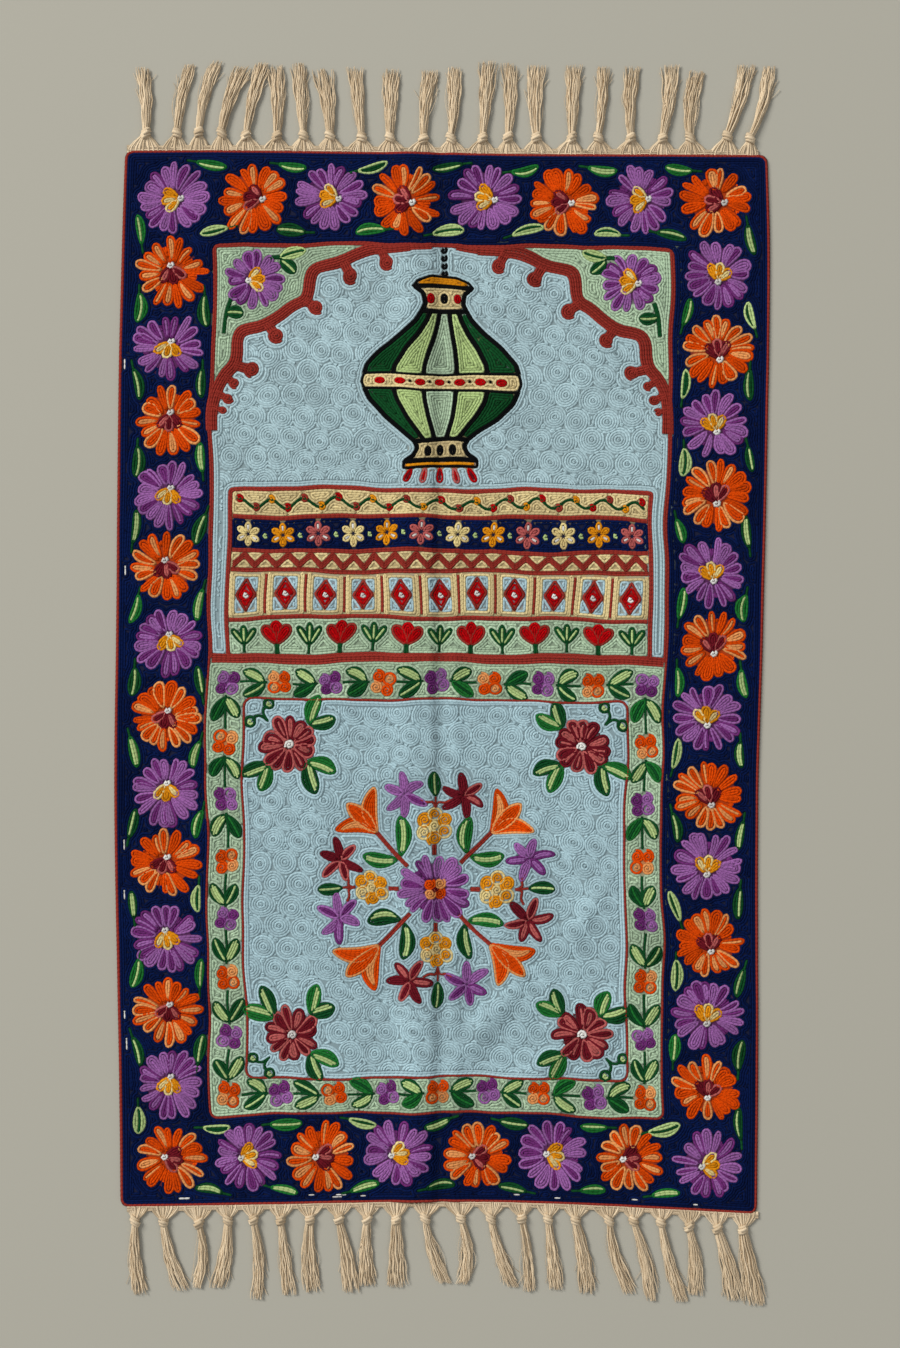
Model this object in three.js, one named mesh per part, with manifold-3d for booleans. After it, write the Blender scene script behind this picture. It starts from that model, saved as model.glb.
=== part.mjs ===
// A flat prayer mat: one wool-embroidered cloth, with a knotted cotton fringe at its head and its foot.
// Millimetres. +X runs across the mat, +Y along it to the head, and +Z up from the floor at z = 0.

import * as THREE from 'three';
import { mergeVertices } from 'three/addons/utils/BufferGeometryUtils.js';
import Module from 'manifold-3d';

const wasm = await Module();
wasm.setup();

// Driving dimensions.
const CLOTH_WIDTH = 704; // nominal, before the edges wander
const CLOTH_LENGTH = 1162;
const CLOTH_THICK = 3; // cotton ground, its backing and the wool stitches together
const CORNER_RADIUS = 7;

const PIECE_GAP = 0.4; // between the cloth's end and the fringe's heading
const HEADING_WIDTH = 3;
const HEADING_THICK = 2.2;
const HEADING_INSET = 9; // from the cloth's side edge to the heading's end

const KNOT_DIAMETER = 10;
const KNOT_HEIGHT = 7.6;
const TENT_HALF_WIDTH = 12.5; // warp ends that one knot gathers, each side of it
const TENT_THICK = 2;
const TENT_NECK = 3.4; // half the width where the warp ends enter the knot

const STRANDS_PER_TASSEL = 5;
const STRAND_PITCH_IN_KNOT = 1.5; // from one strand's middle to the next, inside the knot
const STRAND_PITCH_AT_KNOT = 2.5; // the same where the strands leave the knot
const STRAND_WIDTH = 2.6;
const STRAND_HEIGHT = 2.2;
const STRAND_RAGGEDNESS = 3.5; // how much longer or shorter than its tassel a strand may be
const RAGGED_TURN = 2.4; // radians of the wave that spreads the strands' lengths, from one to the next

// The side edges: how far each lies from the middle line, at places along the mat.
const SIDE_EDGES = [
  { at: -581, left: -352.5, right: 346 },
  { at: -420, left: -354.5, right: 347.5 },
  { at: -130, left: -359.5, right: 347.5 },
  { at: 46, left: -357.5, right: 352.5 },
  { at: 310, left: -355, right: 358.5 },
  { at: 480, left: -351, right: 360.5 },
  { at: 581, left: -347.5, right: 357.5 },
];

// The end edges: how far each lies along the mat, at places across it.
const END_EDGES = [
  { at: -352, foot: -576, head: 585 },
  { at: -210, foot: -574, head: 585 },
  { at: -12, foot: -570.5, head: 582.5 },
  { at: 120, foot: -572.5, head: 581 },
  { at: 285, foot: -580.5, head: 580.5 },
  { at: 352, foot: -584, head: 580 },
];

// The soft fold down the middle: where its crest runs and how far it stands off the floor.
const FOLD_HALF_WIDTH = 30;
const FOLD = [
  { at: -590, crest: -31, rise: 3.6 },
  { at: -330, crest: -29, rise: 3.2 },
  { at: 0, crest: -33, rise: 2.4 },
  { at: 320, crest: -33, rise: 3 },
  { at: 590, crest: -35, rise: 3.6 },
];

// Where the cloth's surface has a row of points, as shares of its width and length.
const WIDTH_STOPS = [0.14, 0.3, 0.405, 0.424, 0.44, 0.454, 0.468, 0.482, 0.498, 0.6, 0.72, 0.86];
const LENGTH_STOPS = [0.08, 0.19, 0.3, 0.41, 0.52, 0.63, 0.74, 0.85, 0.94];

// The tassels from left to right, in millimetres. knot: where the knot lies across the mat. drop: from the
// cloth's end to the knot. lean: how far the tip lies to the right of the knot. reach: from knot to tip.
// bow: how far the middle swings to the right. fan: how wide the strand ends lie.
const TASSEL_COLUMNS = ['knot', 'drop', 'lean', 'reach', 'bow', 'fan'];
const HEAD_TASSELS = [
  [-325, 19, -4, 69, 2, 14], [-291, 19, 14, 72, -2, 13], [-267, 20, 18, 75, -3, 12],
  [-242, 19, 23, 70, -3, 15], [-215, 17, 18, 76, -2, 12], [-181, 16, -1, 75, 2, 14],
  [-152, 17, -5, 76, 0, 13], [-123, 18, -8, 69, 2, 15], [-88, 16, -7, 74, 0, 14],
  [-57, 16, 2, 72, 0, 15], [-20, 15, 8, 72, -2, 13], [10, 16, 3, 75, 2, 12],
  [45, 17, 6, 81, 0, 14], [73, 18, 1, 78, 2, 13], [104, 18, 0, 76, -2, 16],
  [143, 18, 2, 77, 0, 14], [172, 18, 6, 75, 2, 12], [208, 18, 3, 75, -2, 14],
  [243, 18, 10, 77, 2, 15], [273, 18, 8, 71, -3, 16], [314, 20, 20, 76, 3, 15],
  [339, 18, 20, 76, 4, 12],
];
const FOOT_TASSELS = [
  [-337, 16, 5, 77, -2, 13], [-306, 17, 20, 72, -3, 13], [-267, 19, -2, 68, 6, 12],
  [-235, 16, -11, 71, 3, 14], [-207, 16, 3, 84, 4, 13], [-177, 17, 9, 79, 0, 12],
  [-145, 17, 3, 77, -3, 16], [-113, 17, 12, 78, 2, 14], [-82, 18, 1, 70, -2, 15],
  [-50, 19, 0, 71, 0, 19], [-18, 18, 21, 68, -3, 12], [21, 18, 2, 69, 6, 12],
  [54, 18, 23, 72, -2, 13], [88, 17, 9, 77, 2, 12], [117, 17, 9, 74, 0, 13],
  [147, 17, 13, 78, 2, 18], [184, 16, 22, 77, -4, 12], [211, 15, 19, 84, 3, 12],
  [241, 15, 23, 84, -2, 12], [272, 17, 7, 73, 3, 13], [303, 18, 18, 76, 2, 17],
  [331, 18, 14, 80, 0, 19],
];

// Reads one column of a table at a place between its rows, as a smooth curve through them.
function read(table, column, place) {
  const last = table.length - 1;
  let row = 0;
  while (row < last - 1 && place > table[row + 1].at) row += 1;
  const [a, b] = [table[row], table[row + 1]];
  const [before, after] = [table[Math.max(row - 1, 0)], table[Math.min(row + 2, last)]];
  const span = b.at - a.at;
  const t = THREE.MathUtils.clamp((place - a.at) / span, 0, 1);
  const slopeA = ((b[column] - before[column]) / (b.at - before.at)) * span;
  const slopeB = ((after[column] - a[column]) / (after.at - a.at)) * span;
  const rise = b[column] - a[column];
  return a[column] + t * slopeA + t * t * (3 * rise - 2 * slopeA - slopeB)
    + t * t * t * (slopeA + slopeB - 2 * rise);
}

// A place on the nominal rectangle, moved onto the mat's real outline.
function onMat(x, y) {
  const u = x / CLOTH_WIDTH + 0.5;
  const v = y / CLOTH_LENGTH + 0.5;
  const { lerp } = THREE.MathUtils;
  return [
    lerp(read(SIDE_EDGES, 'left', y), read(SIDE_EDGES, 'right', y), u),
    lerp(read(END_EDGES, 'foot', x), read(END_EDGES, 'head', x), v),
  ];
}

// A place on the nominal rectangle, drawn in where the corner is round.
function roundCorner(x, y) {
  const innerX = CLOTH_WIDTH / 2 - CORNER_RADIUS;
  const innerY = CLOTH_LENGTH / 2 - CORNER_RADIUS;
  const a = (Math.abs(x) - innerX) / CORNER_RADIUS;
  const b = (Math.abs(y) - innerY) / CORNER_RADIUS;
  if (a <= 0 || b <= 0) return [x, y];
  return [
    Math.sign(x) * (innerX + CORNER_RADIUS * a * Math.sqrt(1 - (b * b) / 2)),
    Math.sign(y) * (innerY + CORNER_RADIUS * b * Math.sqrt(1 - (a * a) / 2)),
  ];
}

// How far the fold lifts the cloth at a place.
function foldRise(x, y) {
  const away = Math.min(Math.abs(x - read(FOLD, 'crest', y)) / FOLD_HALF_WIDTH, 1);
  return read(FOLD, 'rise', y) * Math.cos((away * Math.PI) / 2) ** 2;
}

// The places of the surface's rows of points, from one edge to the other, close together at the corners.
function stops(size, shares) {
  const corner = [0, CORNER_RADIUS / 3, (2 * CORNER_RADIUS) / 3, CORNER_RADIUS];
  const inner = shares.map((share) => share * size);
  const far = corner.map((place) => size - place).reverse();
  return [...corner, ...inner, ...far].map((place) => place - size / 2);
}

// The cloth as one closed sheet: a grid of points above, the same grid below, and a wall round the edge.
function clothGeometry() {
  const xs = stops(CLOTH_WIDTH, WIDTH_STOPS);
  const ys = stops(CLOTH_LENGTH, LENGTH_STOPS);
  const points = [];
  for (const height of [0, CLOTH_THICK]) {
    for (const y of ys) {
      for (const x of xs) {
        const [px, py] = onMat(...roundCorner(x, y));
        points.push(px, py, height + foldRise(px, py));
      }
    }
  }
  const faces = [];
  const quad = (a, b, c, d) => faces.push(a, b, c, a, c, d);
  const point = (layer, row, column) => (layer * ys.length + row) * xs.length + column;
  for (let row = 0; row + 1 < ys.length; row += 1) {
    for (let column = 0; column + 1 < xs.length; column += 1) {
      const corners = (layer) => [
        point(layer, row, column), point(layer, row, column + 1),
        point(layer, row + 1, column + 1), point(layer, row + 1, column),
      ];
      quad(...corners(1));
      quad(...corners(0).reverse());
    }
  }
  const wall = (rowA, columnA, rowB, columnB) => quad(
    point(0, rowA, columnA), point(0, rowB, columnB), point(1, rowB, columnB), point(1, rowA, columnA),
  );
  const [lastRow, lastColumn] = [ys.length - 1, xs.length - 1];
  for (let column = 0; column < lastColumn; column += 1) {
    wall(0, column, 0, column + 1);
    wall(lastRow, column + 1, lastRow, column);
  }
  for (let row = 0; row < lastRow; row += 1) {
    wall(row, lastColumn, row + 1, lastColumn);
    wall(row + 1, 0, row, 0);
  }
  return geometryOf(points, faces);
}

function geometryOf(points, faces) {
  const geometry = new THREE.BufferGeometry();
  geometry.setAttribute('position', new THREE.Float32BufferAttribute(points, 3));
  geometry.setIndex(faces);
  return geometry;
}

// A closed body through a list of rings, each a list of [x, y, z] points that runs the same way round.
function loft(rings) {
  const sides = rings[0].length;
  const faces = [];
  for (let ring = 0; ring + 1 < rings.length; ring += 1) {
    for (let side = 0; side < sides; side += 1) {
      const next = (side + 1) % sides;
      const [a, b] = [ring * sides + side, ring * sides + next];
      faces.push(a, b, b + sides, a, b + sides, a + sides);
    }
  }
  const end = (rings.length - 1) * sides;
  for (let side = 1; side + 1 < sides; side += 1) {
    faces.push(0, side + 1, side);
    faces.push(end, end + side, end + side + 1);
  }
  return geometryOf(rings.flat(2), faces);
}

// A closed geometry as a solid for joining, turned face out if its rings ran the other way.
function solidOf(geometry) {
  geometry.deleteAttribute('normal');
  geometry.deleteAttribute('uv');
  const merged = mergeVertices(geometry, 1e-4);
  const triVerts = new Uint32Array(merged.index.array);
  const vertProperties = merged.attributes.position.array;
  const solid = new wasm.Manifold(new wasm.Mesh({ numProp: 3, vertProperties, triVerts }));
  if (solid.volume() > 0) return solid;
  triVerts.reverse();
  return new wasm.Manifold(new wasm.Mesh({ numProp: 3, vertProperties, triVerts }));
}

// The points along one end of the cloth that the heading follows, from left to right.
function hemLine(side) {
  const reach = CLOTH_WIDTH / 2 - HEADING_INSET;
  const places = stops(CLOTH_WIDTH, WIDTH_STOPS).filter((x) => Math.abs(x) < reach);
  return [-reach, ...places, reach].map((x) => onMat(x, (side * CLOTH_LENGTH) / 2));
}

// How far along the mat the hem lies at a place across it.
function hemAt(line, x) {
  let i = 0;
  while (i < line.length - 2 && x > line[i + 1][0]) i += 1;
  const [[ax, ay], [bx, by]] = [line[i], line[i + 1]];
  return ay + ((by - ay) * (x - ax)) / (bx - ax);
}

// The stitched heading that holds the fringe, a flat strip just clear of the cloth's end.
function heading(side, line) {
  const rings = line.map(([x, edge]) => {
    const inner = edge + side * PIECE_GAP;
    const outer = inner + side * HEADING_WIDTH;
    const lift = foldRise(x, edge);
    return [
      [x, inner, lift], [x, outer, lift],
      [x, outer, lift + HEADING_THICK], [x, inner, lift + HEADING_THICK],
    ];
  });
  return solidOf(loft(rings));
}

// The warp ends that leave the heading side by side and are drawn together into one knot.
function tent(side, start, knotX, knotY) {
  const steps = [
    { share: 0, half: TENT_HALF_WIDTH },
    { share: 0.35, half: TENT_HALF_WIDTH * 0.62 },
    { share: 1, half: TENT_NECK },
  ];
  const rings = steps.map(({ share, half }) => {
    const y = THREE.MathUtils.lerp(start, knotY, share);
    return [
      [knotX - half, y, 0], [knotX + half, y, 0],
      [knotX + half, y, TENT_THICK], [knotX - half, y, TENT_THICK],
    ];
  });
  return solidOf(loft(rings));
}

function knot(x, y) {
  const geometry = new THREE.SphereGeometry(KNOT_DIAMETER / 2, 6, 4);
  geometry.rotateX(Math.PI / 2);
  geometry.scale(1, 1, KNOT_HEIGHT / KNOT_DIAMETER);
  geometry.translate(x, y, KNOT_HEIGHT / 2);
  return solidOf(geometry);
}

// One three-sided strand, out of the knot and down onto the floor.
function strand(side, tassel, knotY, number) {
  const place = number - (STRANDS_PER_TASSEL - 1) / 2;
  const pitchAtTip = tassel.fan / (STRANDS_PER_TASSEL - 1);
  const raggedness = STRAND_RAGGEDNESS * Math.sin(RAGGED_TURN * number + tassel.knot);
  const steps = [
    { share: 0.02, width: 0.5, lift: 2.4, pitch: STRAND_PITCH_IN_KNOT },
    { share: 0.18, width: 0.8, lift: 0, pitch: STRAND_PITCH_AT_KNOT },
    { share: 0.6, width: 1, lift: 0, pitch: (STRAND_PITCH_AT_KNOT + pitchAtTip) / 2 },
    { share: 1, width: 0.6, lift: 0, pitch: pitchAtTip },
  ];
  const rings = steps.map(({ share, width, lift, pitch }) => {
    const spread = place * pitch;
    const x = tassel.knot + tassel.lean * share + tassel.bow * Math.sin(Math.PI * share) + spread;
    const y = knotY + side * share * (tassel.reach + raggedness);
    const half = (STRAND_WIDTH * width) / 2;
    return [[x - half, y, lift], [x + half, y, lift], [x, y, lift + STRAND_HEIGHT * width ** 0.5]];
  });
  return solidOf(loft(rings));
}

// One end's whole fringe, joined along its heading. side is 1 at the head and -1 at the foot.
function fringeGeometry(side, rows) {
  const line = hemLine(side);
  let joined = heading(side, line);
  for (const row of rows) {
    const tassel = Object.fromEntries(TASSEL_COLUMNS.map((column, index) => [column, row[index]]));
    const edge = hemAt(line, tassel.knot);
    const knotY = edge + side * tassel.drop;
    const start = edge + side * (PIECE_GAP + HEADING_WIDTH / 2);
    joined = joined.add(tent(side, start, tassel.knot, knotY)).add(knot(tassel.knot, knotY));
    for (let number = 0; number < STRANDS_PER_TASSEL; number += 1) {
      joined = joined.add(strand(side, tassel, knotY, number));
    }
  }
  const { numProp, vertProperties, triVerts } = joined.getMesh();
  const points = [];
  for (let i = 0; i < vertProperties.length; i += numProp) {
    points.push(vertProperties[i], vertProperties[i + 1], vertProperties[i + 2]);
  }
  return geometryOf(points, Array.from(triVerts));
}

// One named piece with its own colour.
function piece(name, geometry, color, roughness) {
  geometry.computeVertexNormals();
  const material = new THREE.MeshStandardMaterial({ color, roughness, metalness: 0 });
  const mesh = new THREE.Mesh(geometry, material);
  mesh.name = name;
  return mesh;
}

const SKY_WOOL = new THREE.Color('rgb(150, 171, 174)');
const RAW_COTTON = new THREE.Color('rgb(190, 172, 146)');

const mat = new THREE.Group();
mat.add(piece('mat_cloth', clothGeometry(), SKY_WOOL, 0.95));
mat.add(piece('fringe_head', fringeGeometry(1, HEAD_TASSELS), RAW_COTTON, 0.9));
mat.add(piece('fringe_foot', fringeGeometry(-1, FOOT_TASSELS), RAW_COTTON, 0.9));

// The origin is the middle of the whole mat's box, on the floor.
const box = new THREE.Box3().setFromObject(mat);
const middle = box.getCenter(new THREE.Vector3());
mat.children.forEach((mesh) => mesh.position.set(-middle.x, -middle.y, -box.min.z));

export default mat;
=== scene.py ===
# %% [markdown]
# # A prayer mat in wool chain stitch
# The real mat is a cotton cloth, covered from edge to edge with rows of chain stitch that a small hook
# pulls through it. A knotted cotton fringe hangs at both ends. This lesson draws every row of stitches
# as a path, as the maker's pencil and hook do, and lets Geometry Nodes turn the paths into stitches.
# All sizes are in millimetres on the drawing, and become metres when a path is laid on the cloth.

# %% Load the frame
import math

import bpy
import numpy as np
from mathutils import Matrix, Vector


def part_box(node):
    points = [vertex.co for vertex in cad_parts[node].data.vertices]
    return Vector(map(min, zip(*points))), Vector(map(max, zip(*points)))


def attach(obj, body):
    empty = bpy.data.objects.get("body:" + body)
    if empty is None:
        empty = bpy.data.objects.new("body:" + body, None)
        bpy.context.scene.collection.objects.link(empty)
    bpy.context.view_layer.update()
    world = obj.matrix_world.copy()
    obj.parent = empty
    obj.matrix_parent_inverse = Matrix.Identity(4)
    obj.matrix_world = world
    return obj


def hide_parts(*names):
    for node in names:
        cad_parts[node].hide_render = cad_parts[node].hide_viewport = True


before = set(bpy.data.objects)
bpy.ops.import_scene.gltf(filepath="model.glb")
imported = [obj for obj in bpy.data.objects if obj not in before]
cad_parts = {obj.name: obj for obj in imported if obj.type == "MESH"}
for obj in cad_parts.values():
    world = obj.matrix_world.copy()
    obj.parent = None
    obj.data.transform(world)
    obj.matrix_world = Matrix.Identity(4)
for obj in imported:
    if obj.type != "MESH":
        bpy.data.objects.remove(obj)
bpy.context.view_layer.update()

MM = 0.001
print("frame nodes:", sorted(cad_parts))

# %% [markdown]
# ## Camera and light
# The mat lies flat and is seen from straight above, so the camera hangs over it and looks down. A far,
# low, soft light at the upper left rakes over the mat, so that each row of stitches, the fold and the
# wrinkles get a lit side and a dark one. A weak one opposite keeps the shadows open.

# %% Camera and light
VIEW_LONG_SIDE = 1.483  # what the long side of the picture takes in, on the floor
LENS, SENSOR = 50.0, 36.0
CAMERA_OFFSET = (0.006, 0.010)



def put_in_scene(name, data):
    """Makes an object of a mesh, a light or a camera and shows it in the scene."""
    obj = bpy.data.objects.new(name, data)
    bpy.context.scene.collection.objects.link(obj)
    return obj


camera_data = bpy.data.cameras.new("camera")
camera_data.lens, camera_data.sensor_width = LENS, SENSOR
camera = put_in_scene("camera", camera_data)
camera.location = (*CAMERA_OFFSET, VIEW_LONG_SIDE * LENS / SENSOR)
bpy.context.scene.camera = camera


def add_light(name, place, size, watts):
    """A square soft light that faces the middle of the mat."""
    data = bpy.data.lights.new(name, "AREA")
    data.size, data.energy = size, watts
    light = put_in_scene(name, data)
    light.location = place
    light.rotation_mode = "QUATERNION"
    light.rotation_quaternion = (-light.location).to_track_quat("-Z", "Y")


add_light("key_light", place=(-9, 6.5, 7), size=5, watts=1720)
add_light("fill_light", place=(3, -2, 4), size=3, watts=22)

world = bpy.data.worlds.new("room")
bpy.context.scene.world = world
world.use_nodes = True
room_air = world.node_tree.nodes["Background"]
room_air.inputs["Color"].default_value = (0.93, 0.96, 1.0, 1)
room_air.inputs["Strength"].default_value = 0.42
bpy.context.scene.view_settings.view_transform = "Standard"
print("camera height", round(camera.location.z, 3))

# %% [markdown]
# ## The shape of the cloth
# Nothing sewn by hand is a true rectangle. The drawing is made on a plain rectangle, and tables of the
# four edges then pull it onto the mat's real outline. They are the same ones that the solid has, so the
# stitches stay on it. A lengthwise fold, left from storage, lifts the middle a little.

# %% The cloth's outline, fold and creases
CLOTH_WIDTH, CLOTH_LENGTH = 704, 1162
CORNER_RADIUS = 7
CLOTH_THICK = 1.3  # the ground cloth alone, under the wool

SIDE_EDGES = {
    "at": (-581, -420, -130, 46, 310, 480, 581),
    "left": (-352.5, -354.5, -359.5, -357.5, -355, -351, -347.5),
    "right": (346, 347.5, 347.5, 352.5, 358.5, 360.5, 357.5),
}
END_EDGES = {
    "at": (-352, -210, -12, 120, 285, 352),
    "foot": (-576, -574, -570.5, -572.5, -580.5, -584),
    "head": (585, 585, 582.5, 581, 580.5, 580),
}
FOLD_HALF_WIDTH = 30
FOLD = {
    "at": (-590, -330, 0, 320, 590),
    "crest": (-31, -29, -33, -33, -35),
    "rise": (3.6, 3.2, 2.4, 3, 3.6),
}


def follow(table, column, places):
    """Reads a table's column at these places, as a smooth curve through its rows."""
    at, value = np.array(table["at"], float), np.array(table[column], float)
    slope = np.empty(len(at))
    slope[1:-1] = (value[2:] - value[:-2]) / (at[2:] - at[:-2])
    slope[0], slope[-1] = np.diff(value)[[0, -1]] / np.diff(at)[[0, -1]]
    row = np.clip(np.searchsorted(at, places) - 1, 0, len(at) - 2)
    span = at[row + 1] - at[row]
    t = np.clip((places - at[row]) / span, 0, 1)
    start, end, rise = slope[row] * span, slope[row + 1] * span, value[row + 1] - value[row]
    return value[row] + t * start + t**2 * (3 * rise - 2 * start - end) + t**3 * (start + end - 2 * rise)


def on_mat(points):
    """Moves points of the plain rectangle onto the mat's real outline."""
    x, y = points.T
    u, v = x / CLOTH_WIDTH + 0.5, y / CLOTH_LENGTH + 0.5
    left, right = follow(SIDE_EDGES, "left", y), follow(SIDE_EDGES, "right", y)
    foot, head = follow(END_EDGES, "foot", x), follow(END_EDGES, "head", x)
    return np.stack([left + (right - left) * u, foot + (head - foot) * v], 1)


def fold_rise(points):
    """How far the lengthwise fold lifts the cloth."""
    x, y = points.T
    away = np.clip(np.abs(x - follow(FOLD, "crest", y)) / FOLD_HALF_WIDTH, 0, 1)
    return follow(FOLD, "rise", y) * np.cos(away * math.pi / 2) ** 2


def around(turns):
    """Points on a circle of radius 1, one at each of these turns."""
    return np.stack([np.cos(turns), np.sin(turns)], 1)


def rounded_box(left, foot, right, head, radius):
    """A closed rectangle with round corners, each of five points."""
    corners = ((right, head, 0), (left, head, 1), (left, foot, 2), (right, foot, 3))
    points = []
    for x, y, quarter in corners:
        turn = (quarter + np.linspace(0, 1, 5)) * math.pi / 2
        middle = (x - math.copysign(radius, x - left - 1e-6), y - math.copysign(radius, y - foot - 1e-6))
        points.append(np.array(middle) + radius * around(turn))
    return np.concatenate(points)


def densely(path, spacing, closed=False):
    """The same path with points no further apart than this."""
    ends = np.concatenate([path, path[:1]]) if closed else path
    along = np.concatenate([[0], np.cumsum(np.linalg.norm(np.diff(ends, axis=0), axis=1))])
    count = max(2, int(along[-1] / spacing) + 1)
    at = np.linspace(0, along[-1], count + 1)[: count if closed else count + 1]
    return np.stack([np.interp(at, along, ends[:, k]) for k in (0, 1)], 1)


half_width, half_length = CLOTH_WIDTH / 2, CLOTH_LENGTH / 2
cloth_edge = rounded_box(-half_width, -half_length, half_width, half_length, CORNER_RADIUS)
edge_on_mat = on_mat(densely(cloth_edge, 5, closed=True))
low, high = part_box("mat_cloth")
SHIFT = np.array([low[0], low[1]]) / MM - edge_on_mat.min(0)
print("drawing moved onto the frame by", np.round(SHIFT, 2), "mm")
print("size on the mat", np.round(np.ptp(edge_on_mat, axis=0), 1), "mm")

# %% [markdown]
# ## Laying a drawn point on the cloth
# A line drawn and hooked by hand wanders by about a millimetre. Slow waves move every point of the
# drawing a little, less and less towards the cloth's edge, so neighbours move together and no gap opens.

# %% From the drawing to the cloth
WANDER_FROM_EDGE = 25
WAVES = (  # how fast it turns across and along the mat, and its size
    (0.021, 0.034, 1.2), (-0.047, 0.019, 0.8), (0.013, -0.061, 0.6), (0.11, 0.09, 0.25),
)
CREASES = (  # middle x, y, direction in degrees, half length, half width, height
    (-12, 0, 90, 900, 7, 2.0),
    (14, 0, 90, 900, 9, 1.6),
    (50, -372, 53, 55, 13, 3.8),
    (112, -416, 40, 50, 14, 2.8),
    (180, -388, 62, 40, 11, 2.4),
    (82, -190, 70, 45, 15, 2.4),
    (160, -253, 60, 45, 14, 2.4),
    (-108, -258, 75, 40, 14, 1.6),
    (222, -270, 84, 90, 30, 2.6),
    (215, 60, 80, 120, 20, 1.4),
    (-190, 330, 100, 130, 22, 1.2),
    (-260, -250, 86, 150, 24, 1.2),
    (60, 330, 96, 110, 18, 1.2),
)


def wander(points):
    """Drawn points, moved as an unsteady hand moves them."""
    x, y = points.T
    near_edge = np.minimum(half_width - np.abs(x), half_length - np.abs(y))
    free = np.clip(near_edge / WANDER_FROM_EDGE, 0, 1)
    moved = np.zeros_like(points)
    for across, along, size in WAVES:
        phase = across * x + along * y
        moved[:, 0] += size * free * np.sin(phase)
        moved[:, 1] += size * free * np.sin(phase * 1.3 + 2)
    return points + moved


def crease_rise(points):
    """How far the soft creases lift the cloth."""
    total = np.zeros(len(points))
    for x, y, degrees, half_long, half_wide, height in CREASES:
        turn = math.radians(degrees)
        along = (points[:, 0] - x) * math.cos(turn) + (points[:, 1] - y) * math.sin(turn)
        across = (points[:, 1] - y) * math.cos(turn) - (points[:, 0] - x) * math.sin(turn)
        total += height * np.exp(-((along / half_long) ** 2) - (across / half_wide) ** 2)
    return total


def rise(points):
    return fold_rise(points) + crease_rise(points)


def on_cloth(points, height=0.0):
    """Drawn points as places in the frame, in metres, this many millimetres above the floor side."""
    flat = on_mat(wander(np.asarray(points, float)))
    return np.column_stack([(flat + SHIFT) * MM, (rise(flat) + height) * MM])


def off_cloth(points):
    """The direction that points straight off the cloth, at each drawn point."""
    flat = on_mat(wander(np.asarray(points, float)))
    slope_x, slope_y = [(rise(flat + step) - rise(flat - step)) / 2 for step in ((1, 0), (0, 1))]
    return np.column_stack([-slope_x, -slope_y, np.ones(len(flat))])


# %% [markdown]
# ## The wools
# Each dyed wool is named once. The colours are close to the real ones, seen in soft daylight. Every
# path that is sewn goes into the basket of its wool, and each basket becomes one piece at the end.

# %% Wools and the sewing basket
WOOLS = {  # name: red, green, blue, as a paint chart gives them
    "sky_niche": (181, 206, 210),
    "sky_panel": (177, 204, 210),
    "mint": (182, 205, 172),
    "navy_head": (7, 24, 68),
    "navy_foot": (7, 24, 68),
    "brick": (151, 51, 41),
    "orange": (222, 74, 3),
    "peach": (240, 154, 90),
    "purple": (114, 48, 114),
    "violet": (156, 99, 162),
    "maroon": (108, 22, 33),
    "rose": (184, 92, 88),
    "ochre": (232, 146, 20),
    "straw": (240, 208, 142),
    "red": (182, 5, 11),
    "cream": (232, 207, 151),
    "black": (14, 14, 15),
    "white": (234, 226, 218),
    "bottle_green": (18, 74, 36),
    "leaf_green": (32, 110, 46),
    "lime": (182, 204, 134),
}
ROW = 2.6  # from one row of stitches to the next
LINE_ROW = 2.1  # the same in a drawn line, where the rows are crowded
basket = {name: [] for name in WOOLS}
dice = np.random.default_rng(22)


def sew(wool, path, closed=False, lift=0.0):
    """Puts one row of stitches, drawn as a path, into its wool's basket."""
    basket[wool].append((np.asarray(path, float), closed, lift))


def turned(points, centre, turn):
    """Points given as (along, across), turned to head this way and set at a centre."""
    c, s = math.cos(turn), math.sin(turn)
    return np.asarray(centre, float) + np.asarray(points, float) @ np.array([[c, s], [-s, c]])


def spot(centre, turn, along, across=0.0):
    """One place, this far along and across from a centre that is turned this way."""
    return turned([[along, across]], centre, turn)[0]


def smooth(points, times=3):
    """Cuts the corners of a path again and again, until it runs smoothly."""
    points = np.asarray(points, float)
    for _ in range(times):
        before, after = points[:-1], points[1:]
        cut = np.stack([before * 0.75 + after * 0.25, before * 0.25 + after * 0.75], 1).reshape(-1, 2)
        points = np.concatenate([points[:1], cut, points[-1:]])
    return points


def parallel(path, away):
    """The path moved this far to its left."""
    heading = np.gradient(path, axis=0)
    heading /= np.maximum(np.linalg.norm(heading, axis=1, keepdims=True), 1e-9)
    return path + away * np.stack([-heading[:, 1], heading[:, 0]], 1)


def sew_line(wool, points, rows=1, apart=LINE_ROW, times=3, lift=0.0):
    """An open line of one or more rows side by side."""
    path = densely(smooth(points, times), 2)
    for row in range(rows):
        sew(wool, parallel(path, (row - (rows - 1) / 2) * apart), lift=lift)


def sew_box(wool, left, foot, right, head, rows, radius):
    """A closed box of one or more rows, each inside the last."""
    for row in range(rows):
        inset = row * LINE_ROW
        box = rounded_box(left + inset, foot + inset, right - inset, head - inset, max(radius - inset, 1.5))
        sew(wool, densely(box, 2, closed=True), closed=True)


print(len(WOOLS), "wools")

# %% [markdown]
# ## Petals and discs
# A petal is filled as the hook fills it: round the outline first, then ring inside ring, with one
# straight row down the middle when their number is odd. The same rule, with another swell, makes the
# tips of stars and tulips. A disc is one row that winds outwards from its middle.

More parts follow.
